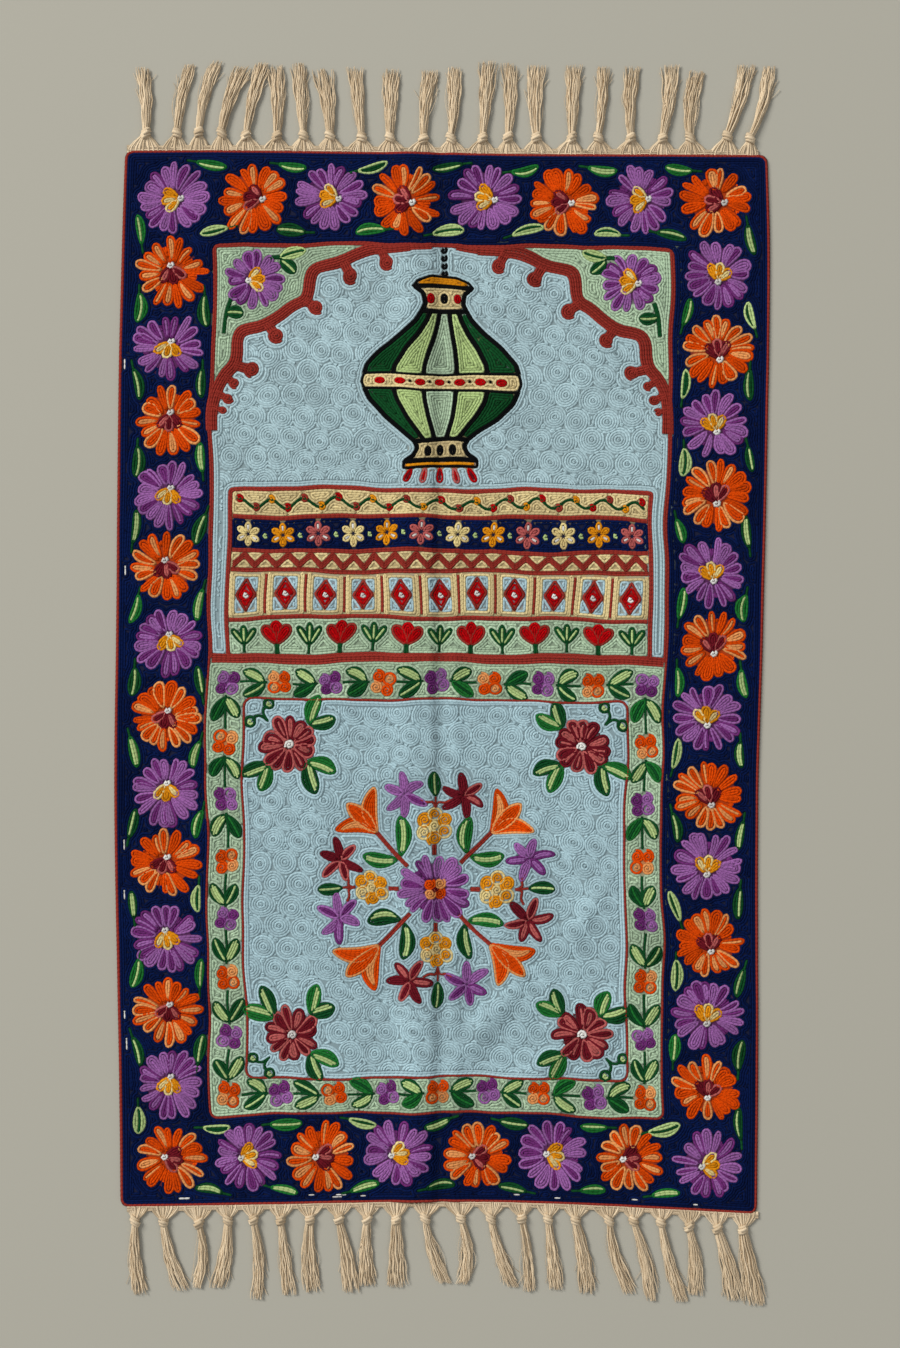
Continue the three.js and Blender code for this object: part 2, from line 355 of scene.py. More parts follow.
# %% Petals and discs
def petal_ring(length, width, narrow_root, blunt, bend):
    """One closed ring: narrow_root draws the root in, a small blunt squares the sides."""
    count = max(10, int((length * 2 + width) / 2.2))
    t = np.arange(count) * 2 * math.pi / count
    share = (1 - np.cos(t)) / 2
    side = np.sign(np.sin(t)) * np.abs(np.sin(t)) ** blunt
    across = width / 2 * side * (1 - narrow_root * np.cos(t))
    return np.stack([length * share, across + bend * 4 * share * (1 - share)], 1)


def sew_petal(centre, turn, start, length, rows, wools, narrow_root=0.5, blunt=1.0, bend=0.0, lift=0.0):
    """A petal that is this many rows wide. wools run from the outline inwards, the last one filling it."""
    for ring in range((rows + 1) // 2):
        inset = (ring + 0.5) * ROW
        wool = wools[min(ring, len(wools) - 1)]
        inner_length, inner_width = length - 2 * inset, (rows - 1 - 2 * ring) * ROW
        if inner_length < ROW:
            break
        if inner_width > 0:
            path = petal_ring(inner_length, inner_width, narrow_root, blunt, bend)
        else:
            share = np.linspace(0, 1, 8)
            path = np.stack([inner_length * share, bend * 4 * share * (1 - share)], 1)
        path = turned(path + [start + inset, 0], centre, turn)
        sew(wool, path, closed=inner_width > 0, lift=lift)


def sew_disc(centre, radius, wools, lift=0.0):
    """A round of stitches that winds outwards. With two wools, the first is the rim."""
    outer = radius - ROW / 2
    if len(wools) > 1:
        sew(wools[0], np.asarray(centre) + outer * around(np.arange(18) * math.pi / 9), True, lift)
        outer -= ROW
    outer = max(outer, ROW * 0.5)
    turn = np.arange(0, 2 * math.pi * outer / ROW, 0.45)
    reach = ROW * (turn / (2 * math.pi)) + 0.3 * ROW
    sew(wools[-1], np.asarray(centre) + reach[:, None] * around(turn), lift=lift)


# %% [markdown]
# ## The big border flowers
# Sixteen or so petals stand round a heart. Their tones change from petal to petal, because the maker
# threads up whatever comes next. The heart is a small fan of three petals that springs from a white
# knot. In the side borders the fans point down or up, and in the end borders left or right.

# %% Border flowers
grounds = []  # the wool that fills up behind each flower, the flower's middle, and how far that reaches
GROUND_SHARE = 0.7
ORANGE_TONES = (
    ("peach", "orange"), ("orange", "orange"), ("orange", "peach"), ("orange", "orange"), ("orange", "peach"),
    ("orange", "orange"), ("peach", "orange"),
)
PURPLE_TONES = (
    ("violet", "purple"), ("purple", "violet"), ("violet", "violet"), ("violet", "purple"), ("violet", "violet"),
)
MAROON_HEART = (("rose", "maroon"), ("maroon", "rose"), ("maroon", "maroon"))
OCHRE_HEART = (("straw", "ochre"), ("ochre", "ochre"), ("ochre", "straw"))
FLOWER_RADIUS, FLOWER_PETALS = 39, 16
HEART_BACK, HEART_LENGTH, HEART_LIFT = 8, 20, 0.7
KNOT_RADIUS = 4.4


def sew_daisy(centre, radius, petals, tones, ground, start_share=0.27, rows=4):
    """Petals all round, each with its own pair of tones and a length of its own."""
    grounds.append((ground, np.asarray(centre, float), radius * GROUND_SHARE))
    first = dice.random() * 2 * math.pi
    start = radius * start_share
    for number in range(petals):
        turn = first + 2 * math.pi * (number + dice.uniform(-0.25, 0.25)) / petals
        length = (radius - start) * dice.uniform(0.86, 1.08)
        tone = tones[dice.integers(len(tones))]
        wide = rows + int(dice.choice([-1, 0, 0, 0, 1]))
        bend, lift = dice.uniform(-1.5, 1.5), dice.uniform(0, 0.4)
        sew_petal(centre, turn, start, length, wide, tone, blunt=0.85, bend=bend, lift=lift)


def sew_heart(centre, turn, tones, size=1.0):
    """Three small petals that fan out from a white knot."""
    root = spot(centre, turn, -HEART_BACK * size)
    for lean, tone in zip((-0.66, 0.66, 0), dice.permutation(tones)):
        sew_petal(root, turn + lean, 1.5, HEART_LENGTH * size, 4, tone, lift=HEART_LIFT)
    sew_disc(root, KNOT_RADIUS, ["white"], lift=HEART_LIFT + 0.5)


RING_X, RING_Y = 297, 529
RING_ACROSS, RING_ALONG = 8, 14
LEFT, RIGHT, UP, DOWN = math.pi, 0.0, math.pi / 2, -math.pi / 2


def ring_places(half_x, half_y, across, along, middle=(0, 0)):
    """Places round a rectangle: (x, y, whether the colour is the first, which way the fan points)."""
    for i in range(across):
        for j in range(along):
            if i in (0, across - 1) or j in (0, along - 1):
                x = middle[0] - half_x + 2 * half_x * i / (across - 1)
                y = middle[1] + half_y - 2 * half_y * j / (along - 1)
                facing = LEFT if j == 0 else RIGHT if j == along - 1 else DOWN if i == 0 else UP
                yield x, y, (i + j) % 2 == 0, facing


flowers = list(ring_places(RING_X, RING_Y, RING_ACROSS, RING_ALONG))
for x, y, is_purple, facing in flowers:
    place = (x + dice.uniform(-2, 2), y + dice.uniform(-2, 2))
    petals = FLOWER_PETALS + int(dice.integers(-1, 2))
    tones, ground = (PURPLE_TONES, "purple") if is_purple else (ORANGE_TONES, "orange")
    sew_daisy(place, FLOWER_RADIUS, petals, tones, ground=ground)
    sew_heart(place, facing + dice.uniform(-0.25, 0.25), OCHRE_HEART if is_purple else MAROON_HEART)
print(len(flowers), "border flowers")

# %% [markdown]
# ## Leaves between the flowers
# Between two flowers a leaf lies on each side of the row, bent round them. Some are dark with a lime
# side, some lime with a dark middle. A short stem ties each to the next flower.

# %% Border leaves
LEAF_AWAY, LEAF_LENGTH, INNER_SLIDE = 36, 34, 6
LEAF_TONES = (
    ("bottle_green", "lime"), ("leaf_green", "lime"), ("bottle_green", "lime"), ("leaf_green", "lime"),
    ("lime", "bottle_green"),
)


def sew_leaf(root, turn, length, tone, rows=5, bend=3.0, lift=0.3, stem=0.0, slit=(-0.6, 0.6)):
    """A pointed leaf, a stem if it has one, and the second tone in the rows that lie within the slit."""
    ring = petal_ring(length - ROW, (rows - 1) * ROW * 1.1, 0.2, 1.5, bend) + [ROW / 2, 0]
    sew(tone[0], turned(ring, root, turn), True, lift)
    for row in range(rows - 2):
        aside = row - (rows - 3) / 2
        share = np.linspace(0.1 + 0.07 * abs(aside), 0.93 - 0.09 * abs(aside), 9)
        path = np.stack([length * share, aside * ROW + bend * 4 * share * (1 - share)], 1)
        sew(tone[1 if slit[0] < aside < slit[1] else 0], turned(path, root, turn), lift=lift + 0.1)
    if stem:
        sew_line("bottle_green", turned([[-stem, 0], [1, 0]], root, turn), times=0, lift=lift)


def sew_border_leaves(start, end, slide_inner=0, with_inner=True):
    """A leaf on each side of the way from one flower to the next. The inner one can slide or be left out."""
    start, end = np.array(start), np.array(end)
    turn = math.atan2(*(end - start)[::-1])
    inner_side = 1 if np.cross(end - start, -(start + end)) > 0 else -1
    for side in (-1, 1):
        if side == inner_side and not with_inner:
            continue
        slide = dice.uniform(-4, 4) + (slide_inner if side == inner_side else 0)
        middle = spot((start + end) / 2, turn, slide, side * LEAF_AWAY)
        backwards = dice.random() < 0.45
        lean = turn + (math.pi if backwards else 0) + dice.uniform(-0.3, 0.3)
        root = spot(middle, lean, -LEAF_LENGTH / 2)
        tone = LEAF_TONES[dice.integers(len(LEAF_TONES))]
        bend = side * dice.uniform(-3.5, -0.5) * (-1 if backwards else 1)
        rows, slit = ((4, (-0.6, 0.6)), (4, (0, 1)), (4, (-1, 0)), (5, (-0.6, 0.6)))[dice.integers(4)]
        sew_leaf(root, lean, LEAF_LENGTH * dice.uniform(0.9, 1.1), tone, rows, bend, stem=9, slit=slit)


step_x, step_y = 2 * RING_X / (RING_ACROSS - 1), 2 * RING_Y / (RING_ALONG - 1)
for side in (-1, 1):
    for i in range(RING_ACROSS - 1):
        x = -RING_X + i * step_x
        slide = INNER_SLIDE * ((i == 0) - (i == RING_ACROSS - 2))
        sew_border_leaves((x, side * RING_Y), (x + step_x, side * RING_Y), slide)
    for j in range(RING_ALONG - 1):
        y = RING_Y - j * step_y
        at_end = j in (0, RING_ALONG - 2)
        sew_border_leaves((side * RING_X, y), (side * RING_X, y - step_y), with_inner=not at_end)

# %% [markdown]
# ## Lines that part the fields
# Brick-red lines part the navy border, the niche, the mint band and the blue panel. They are sewn
# first on the real mat, and all else is filled in between them.

# %% Lines
MIDDLE = -2.5  # where the niche's and the panel's middle line lies
FIELD_LEFT, FIELD_RIGHT = -252, 247
FIELD_FOOT, FIELD_HEAD = -482, 479
BASE_LINE = 21.5
PANEL_HALF = 209.5
PANEL_FOOT, PANEL_HEAD = -442.5, -24.5
EDGE_ROWS_AT = ((1.3, 0.0), (0.9, -1.2))  # how far in from the edge each row lies, and how high
FLECKS = 16

for inset, height in EDGE_ROWS_AT:
    edge = rounded_box(
        -half_width + inset, -half_length + inset, half_width - inset, half_length - inset, CORNER_RADIUS
    )
    sew("brick", densely(edge, 2, closed=True), closed=True, lift=height)
for number in range(FLECKS):  # short white stitches, where the ground shows at the hem
    place = dice.uniform(-0.95, 0.95) * (half_length if number % 3 == 0 else half_width)
    inset, long = dice.uniform(5.5, 10), dice.uniform(4, 13)
    if number % 3 == 0:
        fleck = [(-half_width + inset, place), (-half_width + inset, place + long)]
    else:
        fleck = [(place, -half_length + inset), (place + long, -half_length + inset)]
    sew("white", fleck, lift=-0.85)
sew_box("brick", FIELD_LEFT, FIELD_FOOT, FIELD_RIGHT, FIELD_HEAD, rows=1, radius=7)
niche_frame = np.array([
    (FIELD_LEFT, BASE_LINE), (FIELD_LEFT, FIELD_HEAD), (FIELD_RIGHT, FIELD_HEAD), (FIELD_RIGHT, BASE_LINE),
], float)
sew("brick", parallel(densely(niche_frame, 2), -LINE_ROW))
sew_line("brick", [(FIELD_LEFT + 3, BASE_LINE), (FIELD_RIGHT - 3, BASE_LINE)], rows=4, apart=ROW, times=0)
sew_box("brick", MIDDLE - PANEL_HALF, PANEL_FOOT, MIDDLE + PANEL_HALF, PANEL_HEAD, rows=1, radius=9)

# %% [markdown]
# ## The plan of the fields
# Between the motifs every field is filled with rows that go round whatever is already there. To do the
# same, the drawing gets a plan: a fine grid of cells, each marked with the wool that fills it. Closed
# outlines are painted on it in turn, the later ones over the earlier.

# %% The plan
CELL = 1.2
plan_x = np.arange(-half_width + CELL / 2, half_width, CELL)
plan_y = np.arange(-half_length + CELL / 2, half_length, CELL)
plan = np.zeros((len(plan_x), len(plan_y)), np.int16)
wool_names = list(WOOLS)


def paint(wool, outline):
    """Marks the inside of a closed outline on the plan with the wool that fills it."""
    outline = np.asarray(outline, float)
    span_x = slice(*np.searchsorted(plan_x, (outline[:, 0].min(), outline[:, 0].max())))
    span_y = slice(*np.searchsorted(plan_y, (outline[:, 1].min(), outline[:, 1].max())))
    x, y = np.meshgrid(plan_x[span_x], plan_y[span_y], indexing="ij")
    inside = np.zeros(x.shape, bool)
    for (ax, ay), (bx, by) in zip(outline, np.roll(outline, -1, axis=0)):
        if ay != by:
            inside ^= ((ay > y) != (by > y)) & (x < ax + (y - ay) * (bx - ax) / (by - ay))
    plan[span_x, span_y][inside] = wool_names.index(wool)


def box_outline(left, foot, right, head):
    return [(left, foot), (right, foot), (right, head), (left, head)]


plan[:] = wool_names.index("navy_head")
plan[:, plan_y < 0] = wool_names.index("navy_foot")
paint("mint", box_outline(FIELD_LEFT, FIELD_FOOT, FIELD_RIGHT, FIELD_HEAD))
paint("sky_panel", box_outline(MIDDLE - PANEL_HALF, PANEL_FOOT, MIDDLE + PANEL_HALF, PANEL_HEAD))


def paint_grounds():
    """Paints the rounds behind the flowers sewn so far."""
    for wool, centre, radius in grounds:
        paint(wool, centre + radius * around(np.arange(24) * math.pi / 12))


print("plan of", plan.shape, "cells")

# %% [markdown]
# ## Flowers of the mint band
# A band of small four-lobed flowers goes round the panel, and a stem with a pair of leaves joins each to
# the next. One function sews a flower and another the way to its neighbour, so a loop makes the band.

# %% Band flowers
BAND_MIDDLE, BAND_HALF_X, BAND_HALF_Y = (-2, -232.8), 229, 227.2
BAND_ACROSS, BAND_ALONG = 9, 8
LOBE_AWAY, LOBE_RADIUS, BUD_RADIUS = 8.2, 7.4, 14
SPRIG_LENGTH, SPRIG_LIFT = 29, 0.2


def sew_lobes(centre, lobes, away, radius, tones, lift=0.0, first=None):
    """Round lobes about a centre, each a spiral in its own wool, or a ring of one round another."""
    first = math.pi / lobes if first is None else first
    for number in range(lobes):
        place = spot(centre, first + 2 * math.pi * number / lobes, away)
        sew_disc(place, radius, tones[number % len(tones)], lift)


def sew_sprig(root, turn, length, rows=5, spread=0.52, halves=False):
    """A pair of leaves from one root: a light one and a dark one, or two that are light along one side."""
    dark = (("leaf_green", "bottle_green"), ("bottle_green", "leaf_green"), ("bottle_green", "lime"))
    leaves = [(("bottle_green", "lime"), (-1.2, 1.2)), (dark[dice.integers(3)], (-0.3, 0.3))]
    if halves:
        leaves = [(("bottle_green", "lime"), (-0.1, 2)), (("leaf_green", "lime"), (-2, 0.1))]
    flip = int(dice.integers(2)) * (not halves)
    for side, (tone, slit) in zip((-1, 1), leaves[flip:] + leaves[:flip]):
        long = length * dice.uniform(0.9, 1.08)
        lean = turn + side * spread * dice.uniform(0.85, 1.2)
        sew_leaf(root, lean, long, tone, rows, side * dice.uniform(-0.5, 3), SPRIG_LIFT, slit=slit)


def sew_band_link(start, end):
    """The stem from one band flower to the next, with its sprig."""
    start, end = np.array(start, float), np.array(end, float)
    way = (end - start) / np.linalg.norm(end - start)
    aside = np.array([-way[1], way[0]]) * dice.uniform(-2, 2)
    stem = [start + way * BUD_RADIUS, (start + end) / 2 + aside, end - way * BUD_RADIUS]
    sew_line("bottle_green", stem)
    sew_sprig(start + way * (BUD_RADIUS + 2), math.atan2(way[1], way[0]), SPRIG_LENGTH)


for x, y, is_purple, _ in ring_places(BAND_HALF_X, BAND_HALF_Y, BAND_ACROSS, BAND_ALONG, BAND_MIDDLE):
    tones = [("purple",), ("violet",), ("purple",), ("violet", "violet")]
    if not is_purple:
        tones = [("orange",), ("peach",), ("orange",), ("orange", "peach")]
    grounds.append(("violet" if is_purple else "peach", np.array((x, y), float), LOBE_AWAY))
    place = np.array((x, y)) + dice.uniform(-1, 1, 2)
    tones = [tones[k] for k in dice.permutation(4)]
    sew_lobes(place, 4, LOBE_AWAY, LOBE_RADIUS, tones, first=dice.uniform(0.5, 1.1))

left, right = BAND_MIDDLE[0] - BAND_HALF_X, BAND_MIDDLE[0] + BAND_HALF_X
foot, head = BAND_MIDDLE[1] - BAND_HALF_Y, BAND_MIDDLE[1] + BAND_HALF_Y
across, along = np.linspace(left, right, BAND_ACROSS), np.linspace(foot, head, BAND_ALONG)
for a, b in zip(across[:-1], across[1:]):  # the leaves point away from the middle
    a, b = (a, b) if a + b > left + right else (b, a)
    sew_band_link((a, head), (b, head))
    sew_band_link((a, foot), (b, foot))
for a, b in zip(along[:-1], along[1:]):  # and up and down the sides towards it
    a, b = (b, a) if a + b > foot + head else (a, b)
    sew_band_link((left, a), (left, b))
    sew_band_link((right, a), (right, b))

# %% [markdown]
# ## The blue panel
# In the middle a big purple flower sends stems out to all sides. On the straight ones are a round
# ochre flower, then two stars and a leaf. On the slanting ones are two leaves and a three-petalled
# tulip. A red flower fills each corner of the panel.

# %% Medallion and corner flowers
HUB = np.array((-2.0, -234.0))
HUB_RADIUS, SIDE_FLOWER_AT, TIP_LEAF_AT = 41, 69, 102
STAR_ALONG, STAR_ACROSS, STAR_LENGTH = 105, 32, 27
FORK_AT = 88  # where the stems of the two stars and of the tip leaf part
TULIP_AT, TULIP_LENGTH, TULIP_SPREAD = 87, 50, 0.66
LEAF_PAIR_AT, LEAF_PAIR_LENGTH = 51, 40
CORNER_AT, CORNER_FLOWER_RADIUS = 160, 33
OCHRE_LOBES = (("ochre",), ("straw", "ochre"), ("ochre", "ochre"), ("straw", "straw"))
TULIP_TONES = (("peach", "orange"), ("orange", "orange", "peach"), ("peach", "orange"))
STAR_TONES = {
    "purple": (("violet", "purple"), ("violet", "violet"), ("purple", "violet")),
    "maroon": (("rose", "maroon"), ("maroon", "rose"), ("maroon", "maroon")),
}
CORNER_TONES = (
    ("rose", "maroon", "rose"), ("maroon", "rose"), ("rose", "maroon"), ("maroon", "maroon", "rose"),
)


def sew_star(centre, kind):
    """A star of six narrow petals."""
    first = dice.random()
    grounds.append((kind, np.asarray(centre, float), 8))
    for number in range(6):
        turn = first + (number + dice.uniform(-0.12, 0.12)) * math.pi / 3
        tone = STAR_TONES[kind][dice.integers(3)]
        length, bend = STAR_LENGTH * dice.uniform(0.88, 1.06), dice.uniform(-2, 2)
        sew_petal(centre, turn, 0.5, length, 4, tone, narrow_root=0.0, blunt=1.1, bend=bend, lift=0.1)


def sew_medallion_side(turn, kinds):
    """One straight arm: stem, ochre flower, a star on either side and a leaf at the tip."""
    sew_line("brick", turned([[HUB_RADIUS - 2, 0], [SIDE_FLOWER_AT - 19, 0]], HUB, turn), rows=2, times=0)
    middle = spot(HUB, turn, SIDE_FLOWER_AT)
    sew_lobes(middle, 6, 12.5, 8.2, OCHRE_LOBES)
    sew_disc(middle, 6, ["straw"], 0.5)
    for side, kind in zip((-1, 1), kinds):
        stem = [[FORK_AT, 0], [FORK_AT + 9, side * 2], [FORK_AT + 6, side * 9], [FORK_AT + 10, side * 16]]
        sew_line("brick", turned(stem, HUB, turn))
        along, across = STAR_ALONG + dice.uniform(-3, 3), side * STAR_ACROSS + dice.uniform(-2, 2)
        sew_star(spot(HUB, turn, along, across), kind)
    sew_line("brick", turned([[FORK_AT, 0], [TIP_LEAF_AT, 0]], HUB, turn), times=0)
    sew_leaf(spot(HUB, turn, TIP_LEAF_AT), turn, 29, ("bottle_green", "lime"), bend=1)


def sew_medallion_diagonal(turn):
    """One slanting arm: stem, a pair of leaves and a tulip."""
    sew_line("brick", turned([[HUB_RADIUS - 2, 0], [TULIP_AT, 0]], HUB, turn), rows=2, times=0)
    for side in (-1, 1):
        root = spot(HUB, turn, LEAF_PAIR_AT, side * 2.5)
        tone = LEAF_TONES[dice.integers(2)]
        slit = ((-0.6, 0.6), (-2, 0.1), (-0.1, 2))[dice.integers(3)]
        long = LEAF_PAIR_LENGTH * dice.uniform(0.93, 1.05)
        sew_leaf(root, turn + side * 0.72, long, tone, 6, side * 4, slit=slit)
    base = spot(HUB, turn, TULIP_AT)
    for lean, tone in zip((-TULIP_SPREAD, TULIP_SPREAD, 0), TULIP_TONES):
        long, lift = TULIP_LENGTH * dice.uniform(0.95, 1.04), 0.2 if lean else 0.5
        sew_petal(base, turn + lean, 0, long, 7, tone, narrow_root=0.15, blunt=1.5, bend=-lean * 11, lift=lift)


sew_daisy(HUB, HUB_RADIUS, 17, PURPLE_TONES, ground="purple")
sew_lobes(HUB, 4, 7.8, 7, (("peach",), ("orange",)), HEART_LIFT)
sew_disc(HUB, 4, ["maroon"], HEART_LIFT + 0.6)
for quarter in range(4):
    turn = quarter * math.pi / 2
    sew_medallion_side(turn, ("maroon", "purple"))
    sew_medallion_diagonal(turn + math.pi / 4)


def sew_curl(root, turn):
    """A forked tendril with two round balls at its ends."""
    for side in (-1, 1):
        stem = [[0, 0], [9, side * 1], [14, side * 6], [11, side * 11]]
        sew_line("bottle_green", turned(stem, root, turn), lift=0.2)
        sew_disc(spot(root, turn, 13, side * 13.5), 6.4, ["bottle_green", "lime"], 0.3)


for quarter in range(4):
    outwards = math.pi / 4 + quarter * math.pi / 2
    centre = spot(HUB, outwards, CORNER_AT * math.sqrt(2))
    sew_daisy(centre, CORNER_FLOWER_RADIUS, 12, CORNER_TONES, "maroon", start_share=0.14, rows=5)
    sew_disc(centre, 5.5, ["white"], HEART_LIFT)
    sew_curl(spot(centre, outwards, CORNER_FLOWER_RADIUS + 2), outwards)
    for other in (1, 2, 3):
        turn = outwards + other * math.pi / 2
        sew_sprig(spot(centre, turn, CORNER_FLOWER_RADIUS - 4), turn, 34, 6, spread=0.46, halves=True)

# %% [markdown]
# ## The niche
# A stepped and scrolled arch crowns the niche, with small round drops along it. Mint corners with a
# purple flower and a few leaves fill what is left above it. The two sides are mirror images.

# %% Arch and spandrels
ARCH = [
    (-248.5, 272), (-248.5, 296), (-246, 316), (-238, 334), (-228, 345), (-225, 356), (-225, 372), (-221, 381),
    (-213, 384.5), (-196, 387.5), (-179, 398), (-163, 411), (-152, 416.5), (-147.5, 424), (-146.5, 443),
    (-143, 451), (-135, 454), (-116, 457), (-95, 468), (-78, 473), (-48, 474.5), (-16, 477),
]
ARCH_HOOKS = [  # where a hook leaves the band, where its ball is, the ball's radius, the hook's rows
    ((-72, 472), (-65, 458), 8.8, 4),
    ((-113, 457), (-104, 443), 8.8, 4),
    ((-152, 417), (-139, 409), 8.8, 4),
    ((-192, 390), (-183, 376), 8.8, 4),
    ((-228, 346), (-209, 341), 8.4, 4),
    ((-238, 334), (-226, 326), 6, 3),
    ((-246, 315), (-232, 309), 6.4, 3),
    ((-248, 299), (-237, 294), 5.2, 2),
]
ARCH_STRETCHES = ((5, slice(None, -4)), (4, slice(-5, -2)), (3, slice(-3, None)))  # rows, narrower to its end
SPANDREL_FLOWER = (-206, 438)
SPANDREL_RADIUS = 34
SPANDREL_STEMS = [[(-190, 464), (-184, 466), (-177, 465)], [(-232, 417), (-238, 401), (-240, 380)]]
SPANDREL_LEAVES = [
    ((-180, 465), 0.29, 29, ("lime", "bottle_green")),
    ((-179, 463), -0.75, 23, ("bottle_green", "lime")),
    ((-238, 401), 0.0, 21, ("bottle_green", "lime")),
]


def mirrored(points, side):
    """The points on the left of the middle line, or mirrored onto its right."""
    points = np.asarray(points, float)
    return points if side < 0 else points * [-1, 1] + [2 * MIDDLE, 0]


arch_sides = [smooth(mirrored(ARCH, side), 1) for side in (-1, 1)]
arch_line = np.concatenate([arch_sides[0], arch_sides[1][::-1]])
arch_line = np.clip(arch_line, (FIELD_LEFT, BASE_LINE), (FIELD_RIGHT, FIELD_HEAD))
niche_foot = box_outline(FIELD_LEFT, BASE_LINE, FIELD_RIGHT, ARCH[0][1])
paint("sky_niche", [niche_foot[0], niche_foot[3], *arch_line, niche_foot[2], niche_foot[1]])
for side, line in zip((-1, 1), arch_sides):
    for rows, stretch in ARCH_STRETCHES:
        sew_line("brick", line[stretch], rows=rows, apart=ROW, times=0)
    for band, ball, radius, rows in ARCH_HOOKS:
        band, ball = mirrored([band, ball], side)
        sew_line("brick", [band, ball], rows=rows, apart=ROW, times=0)
        sew_disc(ball, radius, ["brick"], 0.2)
        grounds.append(("brick", ball, radius - 1.5))
    flower = mirrored([SPANDREL_FLOWER], side)[0]
    sew_daisy(flower, SPANDREL_RADIUS, 14, PURPLE_TONES, ground="purple")
    sew_heart(flower, (RIGHT if side < 0 else LEFT) + dice.uniform(-0.3, 0.3), OCHRE_HEART, 0.95)
    for stem in SPANDREL_STEMS:
        sew_line("bottle_green", mirrored(stem, side), rows=2, apart=1.6, lift=0.2)
    for place, turn, length, tone in SPANDREL_LEAVES:
        root = mirrored([place], side)[0]
        turn = turn if side < 0 else math.pi - turn
        sew_leaf(root, turn, length, tone, 5, 1)

# %% [markdown]
# ## A hanging lamp
# Under the arch hangs a glass lamp on a chain, a usual sign on mats of this kind. It is drawn in black
# outline, and its glass is striped in greens. Stripes that follow a round body are the same outline,
# made narrower step by step.

# %% Lamp
LAMP_BODY = [  # height, half width
    (262, 30), (272, 42), (288, 62), (306, 78), (326, 86), (346, 80), (364, 64), (380, 44), (394, 30), (404, 24),
]
LAMP_STRIPES = (-1, -0.62, -0.22, 0.22, 0.62, 1)
LAMP_WOOLS = ("bottle_green", "lime", "mint", "lime", "bottle_green")
BELT_LOW, BELT_HIGH = 318, 336


def lamp_width(height):
    return np.interp(height, *np.array(LAMP_BODY, float).T)


def lamp_edge(share, low=LAMP_BODY[0][0], high=LAMP_BODY[-1][0]):
    """A line up the lamp at this share of its half width."""
    height = np.linspace(low, high, max(3, int((high - low) / 3)))
    return np.stack([MIDDLE + share * lamp_width(height), height], 1)


def field(wool, outline, line=None, rows=1):
    """A closed shape that is filled later, with a line round it."""
    paint(wool, outline)
    if line:
        path = densely(np.asarray(outline, float), 2, closed=True)
        for row in range(rows):
            sew(line, parallel(path, (row - (rows - 1) / 2) * LINE_ROW), closed=True, lift=0.2)


for low_share, high_share, wool in zip(LAMP_STRIPES, LAMP_STRIPES[1:], LAMP_WOOLS):
    field(wool, np.concatenate([lamp_edge(low_share), lamp_edge(high_share)[::-1]]))
for low, high in ((LAMP_BODY[0][0], BELT_LOW), (BELT_HIGH, LAMP_BODY[-1][0])):
    for share in LAMP_STRIPES:
        sew_line("black", lamp_edge(share, low, high), rows=2, times=0, lift=0.2)
belt = np.concatenate([lamp_edge(-1, BELT_LOW, BELT_HIGH), lamp_edge(1, BELT_LOW, BELT_HIGH)[::-1]])
field("cream", belt, "black")
for number in range(-3, 4):
    middle = (MIDDLE + number * 22, (BELT_LOW + BELT_HIGH) / 2)
    sew_petal(middle, 0, -6, 12, 3, ["red"], 0, 0.8, lift=0.3)
    if abs(number) < 3:
        sew_disc((middle[0] + 11, middle[1]), 2.6, ["black"], 0.3)


def around_middle(profile):
    """A closed outline from (height, half width) rows, the same on both sides."""
    height, width = np.array(profile, float).T
    right_side = np.stack([MIDDLE + width, height], 1)
    return np.concatenate([right_side, (right_side * [-1, 1] + [2 * MIDDLE, 0])[::-1]])


field("cream", around_middle([(404, 24), (412, 20), (424, 22), (432, 32)]), "black", rows=2)
field("ochre", around_middle([(432, 32), (438, 28), (443, 14)]), "black")
field("cream", around_middle([(262, 30), (254, 26), (246, 30), (240, 40)]), "black", rows=2)
field("ochre", around_middle([(240, 40), (233, 40)]), "black")
for x in (-14, 0, 14):
    sew_petal((MIDDLE + x, 250), DOWN, -6, 12, 3, ["black"], 0, 0.8, lift=0.3)
    sew_petal((MIDDLE + x, 418), UP, -6, 12, 3, ["red" if x else "black"], 0, 0.8, lift=0.3)
for x, lean in ((-30, -0.5), (-15, -0.22), (0, 0), (15, 0.22), (30, 0.5)):
    tone = ("rose", "red") if x % 2 else ("red", "maroon")
    sew_petal((MIDDLE + x, 232), DOWN + lean, 0, 17, 3, tone, 0.35, 0.9)
for height in (447, 455.5, 464, 472.5):
    sew_disc((MIDDLE, height), 4.4, ["black"], 0.2)

# %% [markdown]
# ## Bands under the lamp
# Level bands of simple signs stand at the foot of the niche: tulips, lozenges on blue between red bars,
# a zigzag, stars on navy, and a stem with berries. Every band is a field of its own between two lines.
# A row of like signs is a loop over places that are spread evenly from side to side.

# %% Bands
BANDS_LEFT, BANDS_RIGHT, BANDS_FOOT, BANDS_HEAD = -230, 228, 23.5, 209
TULIPS_AT, LOZENGES_AT, ZIGZAG_AT, STARS_AT, STEM_AT = 37, 92, 123, 159, 192.5  # heights on the drawing
TULIPS, LOZENGES, ZIGZAG_CORNERS, STARS, BERRIES = 13, 11, 39, 12, 25
BAND_FIELDS = (  # from, to, wool
    (25, 66, "mint"), (66, 118, "cream"), (118, 140, "cream"), (140, 178, "navy_head"), (178, 207, "cream"),
)
for low, high, wool in BAND_FIELDS:
    field(wool, box_outline(BANDS_LEFT, low, BANDS_RIGHT, high))
    if low > BAND_FIELDS[0][0]:
        sew_line("brick", [(BANDS_LEFT + 2, low), (BANDS_RIGHT - 2, low)], rows=2, times=0)
sew_box("brick", BANDS_LEFT - 2, BANDS_FOOT, BANDS_RIGHT + 2, BANDS_HEAD, rows=2, radius=3)


